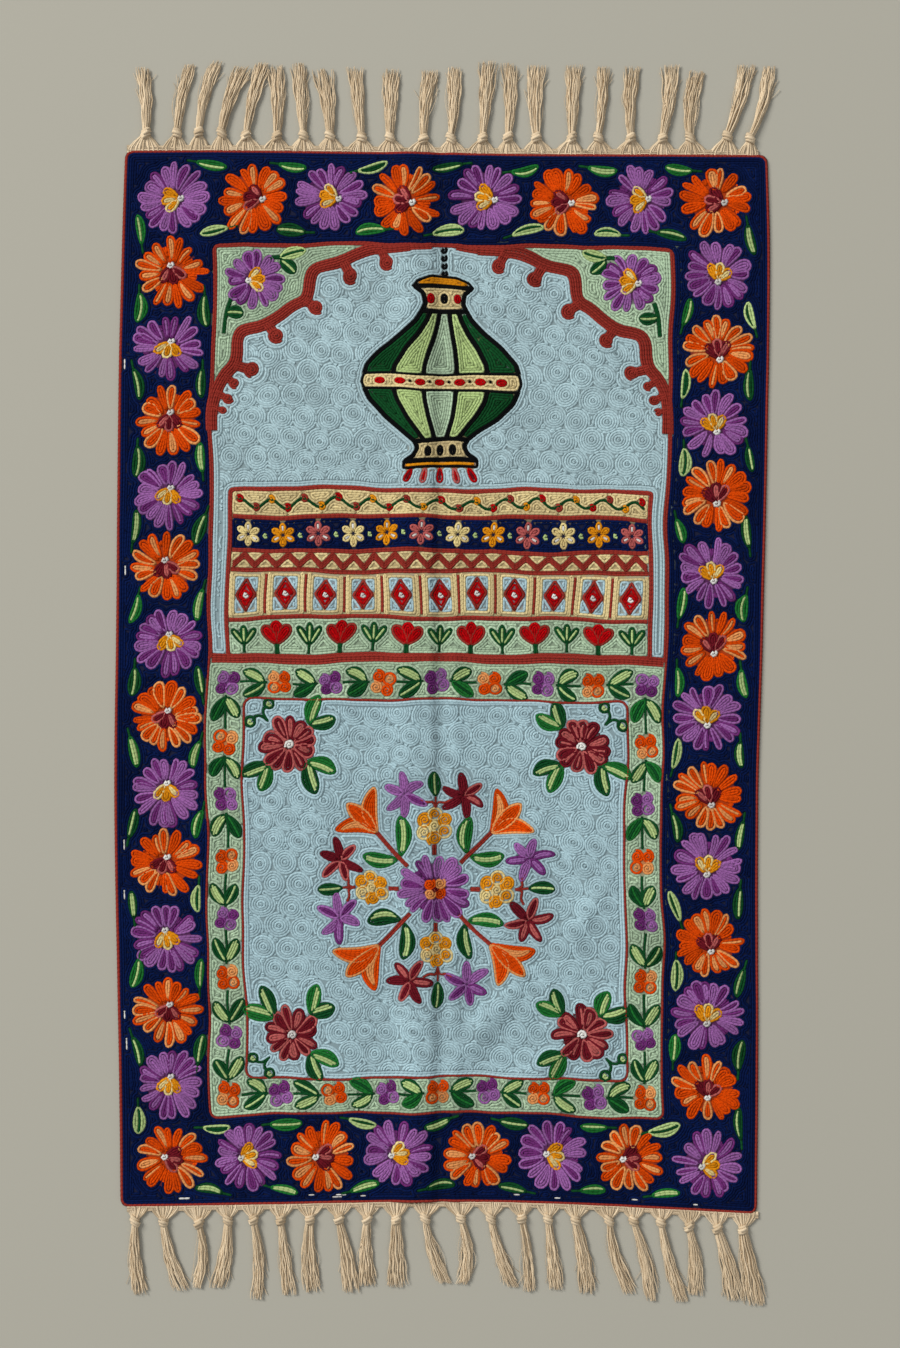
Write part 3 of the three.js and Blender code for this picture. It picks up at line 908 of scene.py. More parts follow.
def evenly(count):
    """Places along the bands, this many, evenly spread."""
    step = (BANDS_RIGHT - BANDS_LEFT) / count
    return BANDS_LEFT + step * (np.arange(count) + 0.5)


# %% Tulips and lozenges
for number, x in enumerate(evenly(TULIPS)):
    root = (x, TULIPS_AT)
    if number % 2:
        for lean, tone in zip((-0.62, 0.62, 0), (("brick", "red"), ("brick", "red"), ("red", "red"))):
            sew_petal(root, UP + lean, 0, 25, 5, tone, 0.3, lift=0.3)
        sew_line("bottle_green", [(x, TULIPS_AT - 10), root], rows=2, times=0, lift=0.2)
    else:
        sew_line("bottle_green", [(x, TULIPS_AT - 9), (x, TULIPS_AT + 3)], times=0, lift=0.2)
        for lean in (-0.6, 0, 0.6):
            sew_petal(root, UP + lean, 0, 23, 3, ("bottle_green", "lime"), 0.2, 0.9, lift=0.3)

HALF_BOX_X, HALF_BOX_Y, HALF_LOZENGE_X, HALF_LOZENGE_Y = 14, 20, 10.5, 16.5
for x in evenly(LOZENGES):
    box = box_outline(x - HALF_BOX_X, LOZENGES_AT - HALF_BOX_Y, x + HALF_BOX_X, LOZENGES_AT + HALF_BOX_Y)
    field("sky_panel", box, "cream")
    tips = np.array([(0, -HALF_LOZENGE_Y), (HALF_LOZENGE_X, 0), (0, HALF_LOZENGE_Y), (-HALF_LOZENGE_X, 0)])
    field("red", tips + (x, LOZENGES_AT), "brick")
    sew_disc((x, LOZENGES_AT), 3.8, ["white"], 0.4)
for x in evenly(LOZENGES)[:-1] + (evenly(LOZENGES)[1] - evenly(LOZENGES)[0]) / 2:
    bar = [(x, LOZENGES_AT - HALF_BOX_Y - 1), (x, LOZENGES_AT + HALF_BOX_Y + 1)]
    sew_line("brick", bar, times=0, lift=0.2)

# %% Zigzag, stars and stem
zigzag_x = np.linspace(BANDS_LEFT + 4, BANDS_RIGHT - 4, ZIGZAG_CORNERS)
zigzag = np.stack([zigzag_x, ZIGZAG_AT + 12 * (np.arange(ZIGZAG_CORNERS) % 2)], 1)
for row in (-1, 0, 1):
    sew("brick", densely(zigzag + [0, row * 2.4], 2), lift=0.3)
for number, x in enumerate(evenly(STARS)):
    wool = ("straw", "ochre", "rose")[number % 3]
    for petal in range(6):
        tone = [wool, "white" if petal % 2 else wool]
        sew_petal((x, STARS_AT), petal * math.pi / 3 + math.pi / 6, 1.5, 13, 3, tone, 0.3)
    if number:
        sew_disc((x - (BANDS_RIGHT - BANDS_LEFT) / STARS / 2, STARS_AT), 3.6, ["lime"], 0.2)
stem_x = np.linspace(BANDS_LEFT + 6, BANDS_RIGHT - 6, 160)
stem_y = STEM_AT + 5 * np.sin((stem_x - BANDS_LEFT) * 2 * math.pi / 36)
sew("bottle_green", np.stack([stem_x, stem_y], 1), lift=0.3)
for number, x in enumerate(evenly(BERRIES)):
    place = (x, STEM_AT + (-4.5 if number % 2 else 4.5))
    sew_disc(place, 5, [("red", "brick", "ochre")[number % 3]], 0.3)
paint_grounds()

# %% [markdown]
# ## Rows that fill the fields
# A filler row keeps one row's width from what is there, the next one two, and so on. So it helps to
# know, for every cell of the plan, how far away the nearest stitch is. Each cell starts out knowing
# only what is inside it, then asks its neighbours far away, then nearer and nearer ones.

# %% Distances on the plan
FARTHEST_STEP = 64  # cells; no place is further from a stitch than twice this
VERY_FAR = 1e5


def cells_of(points):
    """The numbers, across and along, of the plan's cells that these points lie in."""
    across, along = ((points - (plan_x[0], plan_y[0])) / CELL).round().astype(int).T
    return np.clip(across, 0, len(plan_x) - 1), np.clip(along, 0, len(plan_y) - 1)


def away_from(points):
    """For every cell of the plan, how far away the nearest of these points is, and that point."""
    nearest = np.full((*plan.shape, 2), VERY_FAR)
    nearest[cells_of(points)] = points
    here = np.stack(np.meshgrid(plan_x, plan_y, indexing="ij"), -1)
    best = ((nearest - here) ** 2).sum(-1)
    wide, high = plan.shape
    step = FARTHEST_STEP
    while step:
        for dx in (-step, 0, step):
            for dy in (-step, 0, step):
                to = slice(max(0, -dx), wide - max(0, dx)), slice(max(0, -dy), high - max(0, dy))
                source = slice(max(0, dx), wide + min(0, dx)), slice(max(0, dy), high + min(0, dy))
                offer = nearest[source]
                far = ((offer - here[to]) ** 2).sum(-1)
                closer = far < best[to]
                nearest[to][closer] = offer[closer]
                best[to][closer] = far[closer]
        step //= 2
    return np.sqrt(best), nearest


all_rows = [row for rows in basket.values() for row in rows]
stitched = np.concatenate([densely(path, 0.9, closed) for path, closed, _ in all_rows])
to_stitch, nearest_stitch = away_from(stitched)
print(len(stitched), "points on drawn rows; the widest gap is", round(to_stitch.max(), 1), "mm from a row")

# %% [markdown]
# ## Discs of the blue ground
# The blue fields aren't filled from the edges. The maker works small discs side by side, each a row
# that winds outwards, and goes round them where they meet. Only the first two rows follow the motifs.

# %% Row levels
DISC_PITCH, DISC_JITTER = 27, 3.5
LINE_SHARE = 0.87  # from one line of discs to the next, as a share of the pitch
EDGE_ROWS = 2
FIRST_ROOM, LATER_ROOM = 0.85, 0.55  # the share of a row's width that must be left for one more row
dice_sky = np.random.default_rng(5)

columns, lines = int(CLOTH_WIDTH / DISC_PITCH), int(CLOTH_LENGTH / (DISC_PITCH * LINE_SHARE))
i, j = np.meshgrid(np.arange(columns + 1), np.arange(lines + 1), indexing="ij")
disc_x = (i + 0.5 * (j % 2)) * DISC_PITCH - half_width
disc_y = j * DISC_PITCH * LINE_SHARE - half_length
discs = np.stack([disc_x.ravel(), disc_y.ravel()], 1)
discs = discs + dice_sky.uniform(-DISC_JITTER, DISC_JITTER, (i.size, 2))
to_disc, nearest_disc = away_from(discs)

sky = np.isin(plan, [wool_names.index("sky_niche"), wool_names.index("sky_panel")])
inner_sky = sky & (to_stitch > (EDGE_ROWS + 0.6) * ROW)
outer_level = to_stitch / ROW
disc_level = to_disc / ROW + 0.5


def cell_pairs(grid, axis):
    """The values at the two ends of every cell side along this axis."""
    return (grid[:-1], grid[1:]) if axis == 0 else (grid[:, :-1], grid[:, 1:])


def level_crossings(level):
    """Where the level passes a whole number, along the cell sides of both axes."""
    for axis in (0, 1):
        a, b = cell_pairs(level, axis)
        low, high = np.floor(a), np.floor(b)
        i, j = np.nonzero(low != high)
        yield axis, i, j, (np.maximum(low, high)[i, j] - a[i, j]) / (b - a)[i, j]


def ridge_crossings(level, nearest, away):
    """Where two sides meet and leave room for one more row between them."""
    for axis in (0, 1):
        (a, b), (from_a, from_b) = cell_pairs(level, axis), cell_pairs(nearest, axis)
        middle = (a + b) / 2
        left_over = middle - np.floor(middle)
        far_sides = ((from_a - from_b) ** 2).sum(-1) > (1.2 * sum(cell_pairs(away, axis)) / 2) ** 2
        i, j = np.nonzero(far_sides & (left_over > np.where(middle < 1, FIRST_ROOM, LATER_ROOM)))
        corner = np.stack([plan_x[i], plan_y[j]], 1)
        between = (from_b - from_a)[i, j]
        half_way = ((from_b**2 - from_a**2)[i, j].sum(-1) / 2 - (between * corner).sum(-1)) / CELL
        share = half_way / np.where(np.abs(between[:, axis]) < 1e-6, 1e-6, between[:, axis])
        yield axis, i, j, np.clip(share, 0, 1)


def linked(crossings, allowed):
    """Joins crossings from side to side of each cell: points, pairs, and each pair's wool."""
    points, numbers, count = [], [], 0
    for axis, i, j, share in crossings:
        x, y = plan_x[i], plan_y[j]
        points.append(np.stack([x + CELL * share, y] if axis == 0 else [x, y + CELL * share], 1))
        number = np.full((len(plan_x) - (axis == 0), len(plan_y) - (axis == 1)), -1)
        number[i, j] = count + np.arange(len(i))
        numbers.append(number)
        count += len(i)
    on_x, on_y = numbers
    sides = np.stack([on_x[:, :-1], on_y[1:], on_x[:, 1:], on_y[:-1]], -1)
    whole_cell = allowed[:-1, :-1] & allowed[1:, :-1] & allowed[:-1, 1:] & allowed[1:, 1:]
    crossed = (sides >= 0).sum(-1)
    two, four = whole_cell & (crossed == 2), whole_cell & (crossed == 4)
    pairs = [np.sort(sides[two], -1)[:, 2:], sides[four][:, :2], sides[four][:, 2:]]
    wool = plan[:-1, :-1]
    return np.concatenate(points), np.concatenate(pairs), np.concatenate([wool[two], wool[four], wool[four]])


filler = [
    linked(level_crossings(outer_level), ~inner_sky),
    linked(level_crossings(disc_level), inner_sky),
    linked(ridge_crossings(outer_level, nearest_stitch, to_stitch), ~inner_sky),
    linked(ridge_crossings(disc_level, nearest_disc, to_disc), inner_sky),
]
print("filler pieces", [len(pairs) for _, pairs, _ in filler])

# %% [markdown]
# ## The chain-stitch tool
# One tree of nodes turns any path into chain stitch. It cuts the path into half stitches and pinches
# every second point, where one loop comes up through the last. Then it sweeps a low three-sided
# section along the path. It also notes, for the finish, how far along the row a point is and which side
# of it, and gives each row a tone of its own. A modifier is used, because the same tool serves all wools.

# %% Node helpers
def add_node(tree, kind, inputs=(), **settings):
    """Adds a node. inputs are (socket name or number, value or another node's output)."""
    node = tree.nodes.new(kind)
    for name, value in settings.items():
        setattr(node, name, value)
    for name, value in inputs:
        if isinstance(value, bpy.types.NodeSocket):
            tree.links.new(value, node.inputs[name])
        else:
            node.inputs[name].default_value = value
    return node


def result(tree, kind, inputs=(), output=0, **settings):
    """Adds a node and gives one of its outputs, the first if nothing is said."""
    return add_node(tree, kind, inputs, **settings).outputs[output]


def sum_of(tree, operation, a, b=0.0):
    return result(tree, "ShaderNodeMath", [(0, a), (1, b)], operation=operation)


def blend(tree, a, share_a, b, share_b):
    """Two numbers, each times its share, added."""
    return sum_of(tree, "ADD", sum_of(tree, "MULTIPLY", a, share_a), sum_of(tree, "MULTIPLY", b, share_b))


def new_tool(name, numbers):
    """A geometry node tree with a path input, number inputs, a seed and a finish."""
    tree = bpy.data.node_groups.new(name, "GeometryNodeTree")
    tree.interface.new_socket("Paths", in_out="INPUT", socket_type="NodeSocketGeometry")
    for number, value in numbers.items():
        tree.interface.new_socket(number, in_out="INPUT", socket_type="NodeSocketFloat").default_value = value
    tree.interface.new_socket("Seed", in_out="INPUT", socket_type="NodeSocketInt").default_value = 7
    tree.interface.new_socket("Finish", in_out="INPUT", socket_type="NodeSocketMaterial")
    tree.interface.new_socket("Stitches", in_out="OUTPUT", socket_type="NodeSocketGeometry")
    return tree, add_node(tree, "NodeGroupInput").outputs, add_node(tree, "NodeGroupOutput")


def keep_number(tree, geometry, name, value):
    """Stores a number on every point under a name that the finish can read."""
    inputs = [("Geometry", geometry), ("Name", name), ("Value", value)]
    return result(tree, "GeometryNodeStoreNamedAttribute", inputs, domain="POINT")


def read_note(tree, name, kind="FLOAT"):
    """Reads what is stored on the points under this name."""
    return result(tree, "GeometryNodeInputNamedAttribute", [("Name", name)], data_type=kind)


def keep_tone(tree, curves, seed):
    """Gives each row a random tone of its own, and tells where in its row each point is."""
    number = result(tree, "GeometryNodeInputIndex")
    place = add_node(tree, "GeometryNodeCurveOfPoint", [("Point Index", number)])
    inputs = [("ID", place.outputs["Curve Index"]), ("Seed", seed)]
    tone = result(tree, "FunctionNodeRandomValue", inputs, 1, data_type="FLOAT")
    return keep_number(tree, curves, "tone", tone), place.outputs["Index in Curve"]


def end_tool(tree, geometry, finish, made):
    """Makes the geometry real, gives it its finish and sends it out."""
    real = result(tree, "GeometryNodeRealizeInstances", [("Geometry", geometry)])
    finished = result(tree, "GeometryNodeSetMaterial", [("Geometry", real), ("Material", finish)])
    tree.links.new(finished, made.inputs[0])


# %% Chain-stitch tree: the rows
HALF_STITCH, ROW_WIDTH, ROW_HEIGHT, PINCH = 2.55, 3.7, 1.9, 0.86
SHORTEST_ROW = 3.0

chain_numbers = {
    "Half Stitch": HALF_STITCH * MM, "Width": ROW_WIDTH * MM, "Height": ROW_HEIGHT * MM, "Pinch": PINCH,
}
chain_tool, given, made = new_tool("chain_stitch", chain_numbers)
curves = result(chain_tool, "GeometryNodeMeshToCurve", [("Mesh", given["Paths"])])
length = result(chain_tool, "GeometryNodeSplineLength")
inputs = [("A", length), ("B", SHORTEST_ROW * MM)]
too_short = result(chain_tool, "FunctionNodeCompare", inputs, operation="LESS_THAN")
inputs = [("Geometry", curves), ("Selection", too_short)]
curves = result(chain_tool, "GeometryNodeDeleteGeometry", inputs, domain="CURVE")
inputs = [("Curve", curves), ("Length", given["Half Stitch"])]
curves = result(chain_tool, "GeometryNodeResampleCurve", inputs, mode="LENGTH")

heading = result(chain_tool, "GeometryNodeInputTangent")
off = read_note(chain_tool, "off_cloth", "FLOAT_VECTOR")
sideways = result(chain_tool, "ShaderNodeVectorMath", [(0, heading), (1, off)], operation="CROSS_PRODUCT")
inputs = [("Curve", curves), ("Normal", sideways)]
curves = result(chain_tool, "GeometryNodeSetCurveNormal", inputs, mode="FREE")
curves = result(chain_tool, "GeometryNodeRemoveAttribute", [("Geometry", curves), ("Name", "off_cloth")])

curves, in_row = keep_tone(chain_tool, curves, given["Seed"])
curves = keep_number(chain_tool, curves, "step", sum_of(chain_tool, "MULTIPLY", in_row, 0.5))
slack = sum_of(chain_tool, "SUBTRACT", 1.0, given["Pinch"])
odd = sum_of(chain_tool, "MODULO", in_row, 2.0)
girth = sum_of(chain_tool, "ADD", given["Pinch"], sum_of(chain_tool, "MULTIPLY", odd, slack))

# %% Chain-stitch tree: the section
# A ring of three points with a radius of 1 is 1.5 tall and 1.732 wide.
foot_down = sum_of(chain_tool, "DIVIDE", given["Height"], -3.0)
shift = result(chain_tool, "ShaderNodeCombineXYZ", [("Y", foot_down)])
tall = sum_of(chain_tool, "DIVIDE", given["Height"], 1.5)
wide = sum_of(chain_tool, "DIVIDE", given["Width"], 1.732)
stretch = result(chain_tool, "ShaderNodeCombineXYZ", [("X", tall), ("Y", wide), ("Z", 1.0)])
inputs = [("Resolution", 3), ("Radius", 1.0)]
ring = result(chain_tool, "GeometryNodeCurvePrimitiveCircle", inputs, mode="RADIUS")
inputs = [("Geometry", ring), ("Translation", shift), ("Rotation", (0, 0, -math.pi / 2)), ("Scale", stretch)]
section = result(chain_tool, "GeometryNodeTransform", inputs)
position = result(chain_tool, "GeometryNodeInputPosition")
across = result(chain_tool, "ShaderNodeSeparateXYZ", [(0, position)])
half = sum_of(chain_tool, "MULTIPLY", given["Width"], 0.5)
section = keep_number(chain_tool, section, "across", sum_of(chain_tool, "DIVIDE", across, half))

inputs = [("Curve", curves), ("Profile Curve", section), ("Scale", girth), ("Fill Caps", True)]
swept = result(chain_tool, "GeometryNodeCurveToMesh", inputs)
inputs = [("A", sum_of(chain_tool, "ABSOLUTE", read_note(chain_tool, "across"))), ("B", 0.8)]
at_foot = result(chain_tool, "FunctionNodeCompare", inputs, operation="GREATER_THAN")
inputs = [("Geometry", swept), ("Selection", at_foot), ("Shade Smooth", False)]
swept = result(chain_tool, "GeometryNodeSetShadeSmooth", inputs, domain="EDGE")
end_tool(chain_tool, swept, given["Finish"], made)


# %% Using a tool
def apply_tool(name, points, pairs, notes, tree, **values):
    """Lays points and the lines between them, runs the tool on them and keeps the plain mesh."""
    drawing = bpy.data.meshes.new(name + "_paths")
    drawing.from_pydata(points, pairs, [])
    for note, value in notes.items():
        kind, field_name = ("FLOAT", "value") if value.ndim == 1 else ("FLOAT_VECTOR", "vector")
        numbers = value.astype(np.float32).ravel()
        drawing.attributes.new(note, kind, "POINT").data.foreach_set(field_name, numbers)
    obj = put_in_scene(name, drawing)
    modifier = obj.modifiers.new(tree.name, "NODES")
    modifier.node_group = tree
    for socket in tree.interface.items_tree:
        if socket.in_out == "INPUT" and socket.name in values:
            modifier[socket.identifier] = values[socket.name]
    graph = bpy.context.evaluated_depsgraph_get()
    ready = obj.evaluated_get(graph)
    mesh = bpy.data.meshes.new_from_object(ready, preserve_all_data_layers=True, depsgraph=graph)
    obj.modifiers.clear()
    obj.data = mesh
    mesh.name = name
    bpy.data.meshes.remove(drawing)
    mesh.shade_smooth()
    return obj


print("tool ready:", len(chain_tool.nodes), "nodes")

# %% [markdown]
# ## The look of wool
# Hand-dyed wool is never one colour. Each length of yarn took the dye a little differently, so every
# row has a tone of its own, and slow clouds of lighter and darker dye run through a field. Within a
# row, the hollow along the middle, the row's edges and the places where loops meet get painted shade,
# and that pattern also bends the light. Fine fibres make it rough and give it a faint sheen.

# %% Wool finish
FOLD_SHADE_AT, FOLD_SHADE_HALF_WIDTH = 0.003, 0.021  # a band of painted shade along the fold, darkest at its line


def as_linear(color):
    """A paint-chart colour as the light it sends back."""
    part = np.array(color) / 255
    return (*np.where(part <= 0.04045, part / 12.92, ((part + 0.055) / 1.055) ** 2.4).tolist(), 1.0)


def dimmed(light, share):
    """A colour of light times a share, never past full."""
    return (*(min(1, part * share) for part in light[:3]), 1.0)


def mixed(tree, amount, a, b, way="MIX"):
    """Two colours mixed, or the second worked onto the first."""
    return result(tree, "ShaderNodeMix", [(0, amount), (6, a), (7, b)], 2, data_type="RGBA", blend_type=way)


def shades(tree, value, stops):
    """A ramp from a number to a shade. stops are (place, grey)."""
    ramp = add_node(tree, "ShaderNodeValToRGB", [(0, value)])
    while len(ramp.color_ramp.elements) < len(stops):
        ramp.color_ramp.elements.new(0.5)
    for element, (place, grey) in zip(ramp.color_ramp.elements, stops):
        element.position, element.color = place, (grey, grey, grey, 1)
    return ramp.outputs[0]


def number_of(tree, name):
    return result(tree, "ShaderNodeAttribute", output="Fac", attribute_name=name)


def noise(tree, place, scale, detail):
    return result(tree, "ShaderNodeTexNoise", [("Vector", place), ("Scale", scale), ("Detail", detail)])


def place_on_piece(tree):
    return result(tree, "ShaderNodeTexCoord", output="Object")


def new_finish(name, roughness, sheen):
    """A matte finish: itself, its tree and its shader."""
    finish = bpy.data.materials.new(name)
    finish.use_nodes = True
    tree = finish.node_tree
    shader = tree.nodes["Principled BSDF"]
    shader.inputs["Roughness"].default_value = roughness
    shader.inputs["Specular IOR Level"].default_value = 0.05
    shader.inputs["Sheen Weight"].default_value = sheen
    shader.inputs["Sheen Roughness"].default_value = 0.45
    return finish, tree, shader


def dress(tree, shader, color, height, strength, distance):
    """Gives the shader its colour, and small bumps of this height."""
    tree.links.new(color, shader.inputs["Base Color"])
    inputs = [("Strength", strength), ("Distance", distance), ("Height", height)]
    tree.links.new(result(tree, "ShaderNodeBump", inputs), shader.inputs["Normal"])


def wool_finish(name, color):
    """Dyed wool in chain stitch."""
    finish, tree, shader = new_finish("wool_" + name, 0.9, 0.02)
    place = place_on_piece(tree)
    contrast = 0.26 if "sky" in name else 0.5 if "navy" in name else 0.36
    clouds, fibres = noise(tree, place, 16.0, 2.0), noise(tree, place, 900.0, 2.0)
    amount = blend(tree, number_of(tree, "tone"), 0.55, clouds, 0.45)
    light = as_linear(color)
    base = mixed(tree, amount, dimmed(light, 1 - contrast), dimmed(light, 1 + contrast * 0.8))
    across = sum_of(tree, "ABSOLUTE", number_of(tree, "across"))
    slanted = sum_of(tree, "SUBTRACT", number_of(tree, "step"), sum_of(tree, "MULTIPLY", across, 0.35))
    in_loop = sum_of(tree, "FRACT", slanted)
    # painted shade in the joints between loops, along the row's middle and at its edges; the same ramps give the
    # bump
    painted_joint_dark, painted_valley_dark = (0.72, 0.6) if "sky" in name else (0.55, 0.5)
    joint_shade_and_bump = shades(tree, in_loop, [(0.0, painted_joint_dark), (0.14, 1.0), (0.86, 1.0), (1.0, painted_joint_dark)])
    hollow_shade_and_bump = shades(tree, across, [(0.0, 0.9), (0.16, 1.0), (0.48, 1.0), (0.72, painted_valley_dark)])
    shaded = mixed(tree, 0.9, base, mixed(tree, 1.0, joint_shade_and_bump, hollow_shade_and_bump, "MULTIPLY"), "MULTIPLY")
    # a band of painted shade along the fold, its edge blurred by the clouds
    from_fold = sum_of(tree, "ADD", result(tree, "ShaderNodeSeparateXYZ", [(0, place)]), FOLD_SHADE_AT)
    from_fold = sum_of(tree, "ADD", from_fold, sum_of(tree, "MULTIPLY", clouds, 0.014))
    fold_shade = sum_of(tree, "DIVIDE", sum_of(tree, "ABSOLUTE", from_fold), FOLD_SHADE_HALF_WIDTH)
    shaded = mixed(tree, 1.0, shaded, shades(tree, fold_shade, [(0.0, 0.84), (1.0, 1.0)]), "MULTIPLY")
    fuzzy = mixed(tree, 0.8, shaded, shades(tree, fibres, [(0.3, 0.76), (0.7, 1.16)]), "MULTIPLY")
    height = sum_of(tree, "MULTIPLY", joint_shade_and_bump, hollow_shade_and_bump)
    height = sum_of(tree, "ADD", height, sum_of(tree, "MULTIPLY", fibres, 0.4))
    dress(tree, shader, fuzzy, height, 0.5, 0.0006)
    return finish


# %% [markdown]
# ## Working the rows
# Each wool's basket, and the filler rows in that wool, now become one mesh of lines. The tool turns it
# into stitches. The finished mesh gets a flat map seen from above, so that a painted copy of it can be
# made. The hidden undersides are kept out of the way in one corner of the map.

# %% Stitching
ROOT_DEPTH = 0.25  # how far a row sinks into the cloth


def read_all(items, name, kind, width):
    """One row of numbers for every vertex, corner or face of a mesh."""
    values = np.empty(len(items) * width, kind)
    items.foreach_get(name, values)
    return values.reshape(-1, width)


def face_sizes(mesh):
    return read_all(mesh.polygons, "loop_total", np.int32, 1)[:, 0]


def at_corners(mesh, values):
    """What belongs to each vertex, given for every face corner that lies on it."""
    return values[read_all(mesh.loops, "vertex_index", np.int32, 1)[:, 0]]


def write_map(mesh, flat):
    mesh.uv_layers.new(name="OFBake").data.foreach_set("uv", flat.astype(np.float32).ravel())


def map_from_above(mesh):
    """Maps the faces as seen from above, and the undersides to a corner."""
    vertices = read_all(mesh.vertices, "co", np.float32, 3)
    low, high = vertices.min(0)[:2], vertices.max(0)[:2]
    flat = at_corners(mesh, 0.02 + 0.96 * (vertices[:, :2] - low) / max(high - low))
    underneath = read_all(mesh.polygons, "normal", np.float32, 3)[:, 2] < -0.3
    flat[np.repeat(underneath, face_sizes(mesh))] *= 0.015
    write_map(mesh, flat)


def joined(count, length, closed=False):
    """The pairs that join so many points, numbered on from a count, into one line."""
    order = count + np.arange(length)
    return np.stack([order, np.roll(order, -1)], 1)[: None if closed else -1]


def gather(wool):
    """All rows of one wool as points on the cloth, pairs to join and the directions off the cloth."""
    points, pairs, off, count = [], [], [], 0
    for path, closed, lift in basket[wool]:
        points.append(on_cloth(path, CLOTH_THICK - ROOT_DEPTH + lift))
        off.append(off_cloth(path))
        pairs.append(joined(count, len(path), closed))
        count += len(path)
    for rows, joins, wools in filler:
        mine = joins[wools == wool_names.index(wool)]
        if len(mine):
            used, again = np.unique(mine, return_inverse=True)
            points.append(on_cloth(rows[used], CLOTH_THICK - ROOT_DEPTH))
            off.append(off_cloth(rows[used]))
            pairs.append(again.reshape(-1, 2) + count)
            count += len(used)
    return np.concatenate(points), np.concatenate(pairs), {"off_cloth": np.concatenate(off)}


def count_triangles(obj):
    return int((face_sizes(obj.data) - 2).sum())


wool_pieces = {}
for number, (wool, color) in enumerate(WOOLS.items()):
    finish = wool_finish(wool, color)
    piece = apply_tool("stitches_" + wool, *gather(wool), chain_tool, Finish=finish, Seed=number)
    map_from_above(piece.data)
    wool_pieces[wool] = piece
    print(f"{wool:14s} {count_triangles(piece):7d} triangles")

# %% [markdown]
# ## The ground cloth
# A plain cotton cloth lies under the wool. Its underside shows the weave, and its top shows only as
# specks between rows. It is one thin sheet that follows the fold and the creases. Two grids, top and
# bottom, are joined round the edge. The top takes a dark tint of the wool above it, as the pile of
# yarn keeps the light out.

# %% Cloth
GRID_PITCH = 9
EDGE_STOPS = (0, 1.2, 2.8, 4.8, CORNER_RADIUS)


def cloth_stops(half):
    near = np.array(EDGE_STOPS, float)
    middle = np.linspace(-half + CORNER_RADIUS, half - CORNER_RADIUS, int(2 * half / GRID_PITCH))
    return np.concatenate([-half + near[:-1], middle, half - near[:-1][::-1]])


def round_off(x, y):
    """Bends each corner square of the grid into a quarter disc."""
    in_x = np.clip((np.abs(x) - (half_width - CORNER_RADIUS)) / CORNER_RADIUS, 0, 1)
    in_y = np.clip((np.abs(y) - (half_length - CORNER_RADIUS)) / CORNER_RADIUS, 0, 1)
    new_x = x - np.sign(x) * CORNER_RADIUS * in_x * (1 - np.sqrt(1 - in_y**2 / 2))
    new_y = y - np.sign(y) * CORNER_RADIUS * in_y * (1 - np.sqrt(1 - in_x**2 / 2))
    return new_x, new_y


stops_x, stops_y = cloth_stops(half_width), cloth_stops(half_length)
grid_x, grid_y = np.meshgrid(stops_x, stops_y, indexing="ij")
flat = np.stack([part.ravel() for part in round_off(grid_x, grid_y)], 1)
wide, high = len(stops_x), len(stops_y)
number = np.arange(wide * high).reshape(wide, high)
quads = np.stack([number[:-1, :-1], number[1:, :-1], number[1:, 1:], number[:-1, 1:]], -1).reshape(-1, 4)
rim = np.concatenate([number[:, 0], number[-1, 1:], number[-2::-1, -1], number[0, -2:0:-1]])
below = wide * high
walls = np.stack([rim + below, np.roll(rim, -1) + below, np.roll(rim, -1), rim], 1)
top, bottom = on_cloth(flat, CLOTH_THICK), on_cloth(flat, 0.0)
cloth_mesh = bpy.data.meshes.new("ground_cloth")
faces = np.concatenate([quads, quads[:, ::-1] + below, walls])
cloth_mesh.from_pydata(np.concatenate([top, bottom]).tolist(), [], faces.tolist())
cloth = put_in_scene("ground_cloth", cloth_mesh)
cloth_mesh.shade_smooth()

wool_light = np.array([as_linear(color) for color in WOOLS.values()])
tint = np.concatenate([wool_light[plan[cells_of(flat)]], np.tile([1.0, 1.0, 1.0, 1.0], (below, 1))])
cloth_mesh.color_attributes.new("tint", "FLOAT_COLOR", "POINT").data.foreach_set("color", tint.ravel())
cloth_map = np.concatenate([flat, flat + [CLOTH_WIDTH + 20, 0]]) / (2 * CLOTH_WIDTH + 40)
write_map(cloth_mesh, at_corners(cloth_mesh, cloth_map - cloth_map.min(0)))
print("cloth:", count_triangles(cloth), "triangles")

# %% [markdown]
# ## Cotton finishes
# The bare cotton is a plain weave of thin threads, with a slub here and there. Two crossed waves of
# fine ridges give the weave, and noise makes it uneven. The top of the cloth is the same, tinted with
# the wool's colour and darkened with painted shade, as the pile of yarn keeps the light out.

# %% Cotton
COTTON = (192, 178, 150)
THREAD_PITCH = 0.0011


def weave(tree, place):
    """The height of a plain weave, 0 to 1."""
    ridges = []
    for direction in ("X", "Y"):
        inputs = [("Vector", place), ("Scale", 0.314 / THREAD_PITCH), ("Distortion", 0.6), ("Detail", 1.0)]
        ridges.append(result(tree, "ShaderNodeTexWave", inputs, 1, bands_direction=direction))
    return sum_of(tree, "MULTIPLY", sum_of(tree, "ADD", *ridges), 0.5)


def cotton_finish(name, tinted_and_shaded):
    """Woven cotton, bare, or tinted with the wool above it and darkened with painted shade."""
    finish, tree, shader = new_finish(name, 0.9, 0.05)
    place = place_on_piece(tree)
    clouds, threads = noise(tree, place, 9.0, 4.0), weave(tree, place)
    light = as_linear(COTTON)
    base = mixed(tree, blend(tree, clouds, 0.5, threads, 0.5), dimmed(light, 0.62), light)
    if tinted_and_shaded:
        tint = result(tree, "ShaderNodeVertexColor", layer_name="tint")
        # the top under the wool: the wool's colour, darkened with painted shade
        base = mixed(tree, 1.0, mixed(tree, 0.05, tint, base), (0.55, 0.55, 0.55, 1), "MULTIPLY")
    dress(tree, shader, base, threads, 0.4, 0.0004)
    return finish


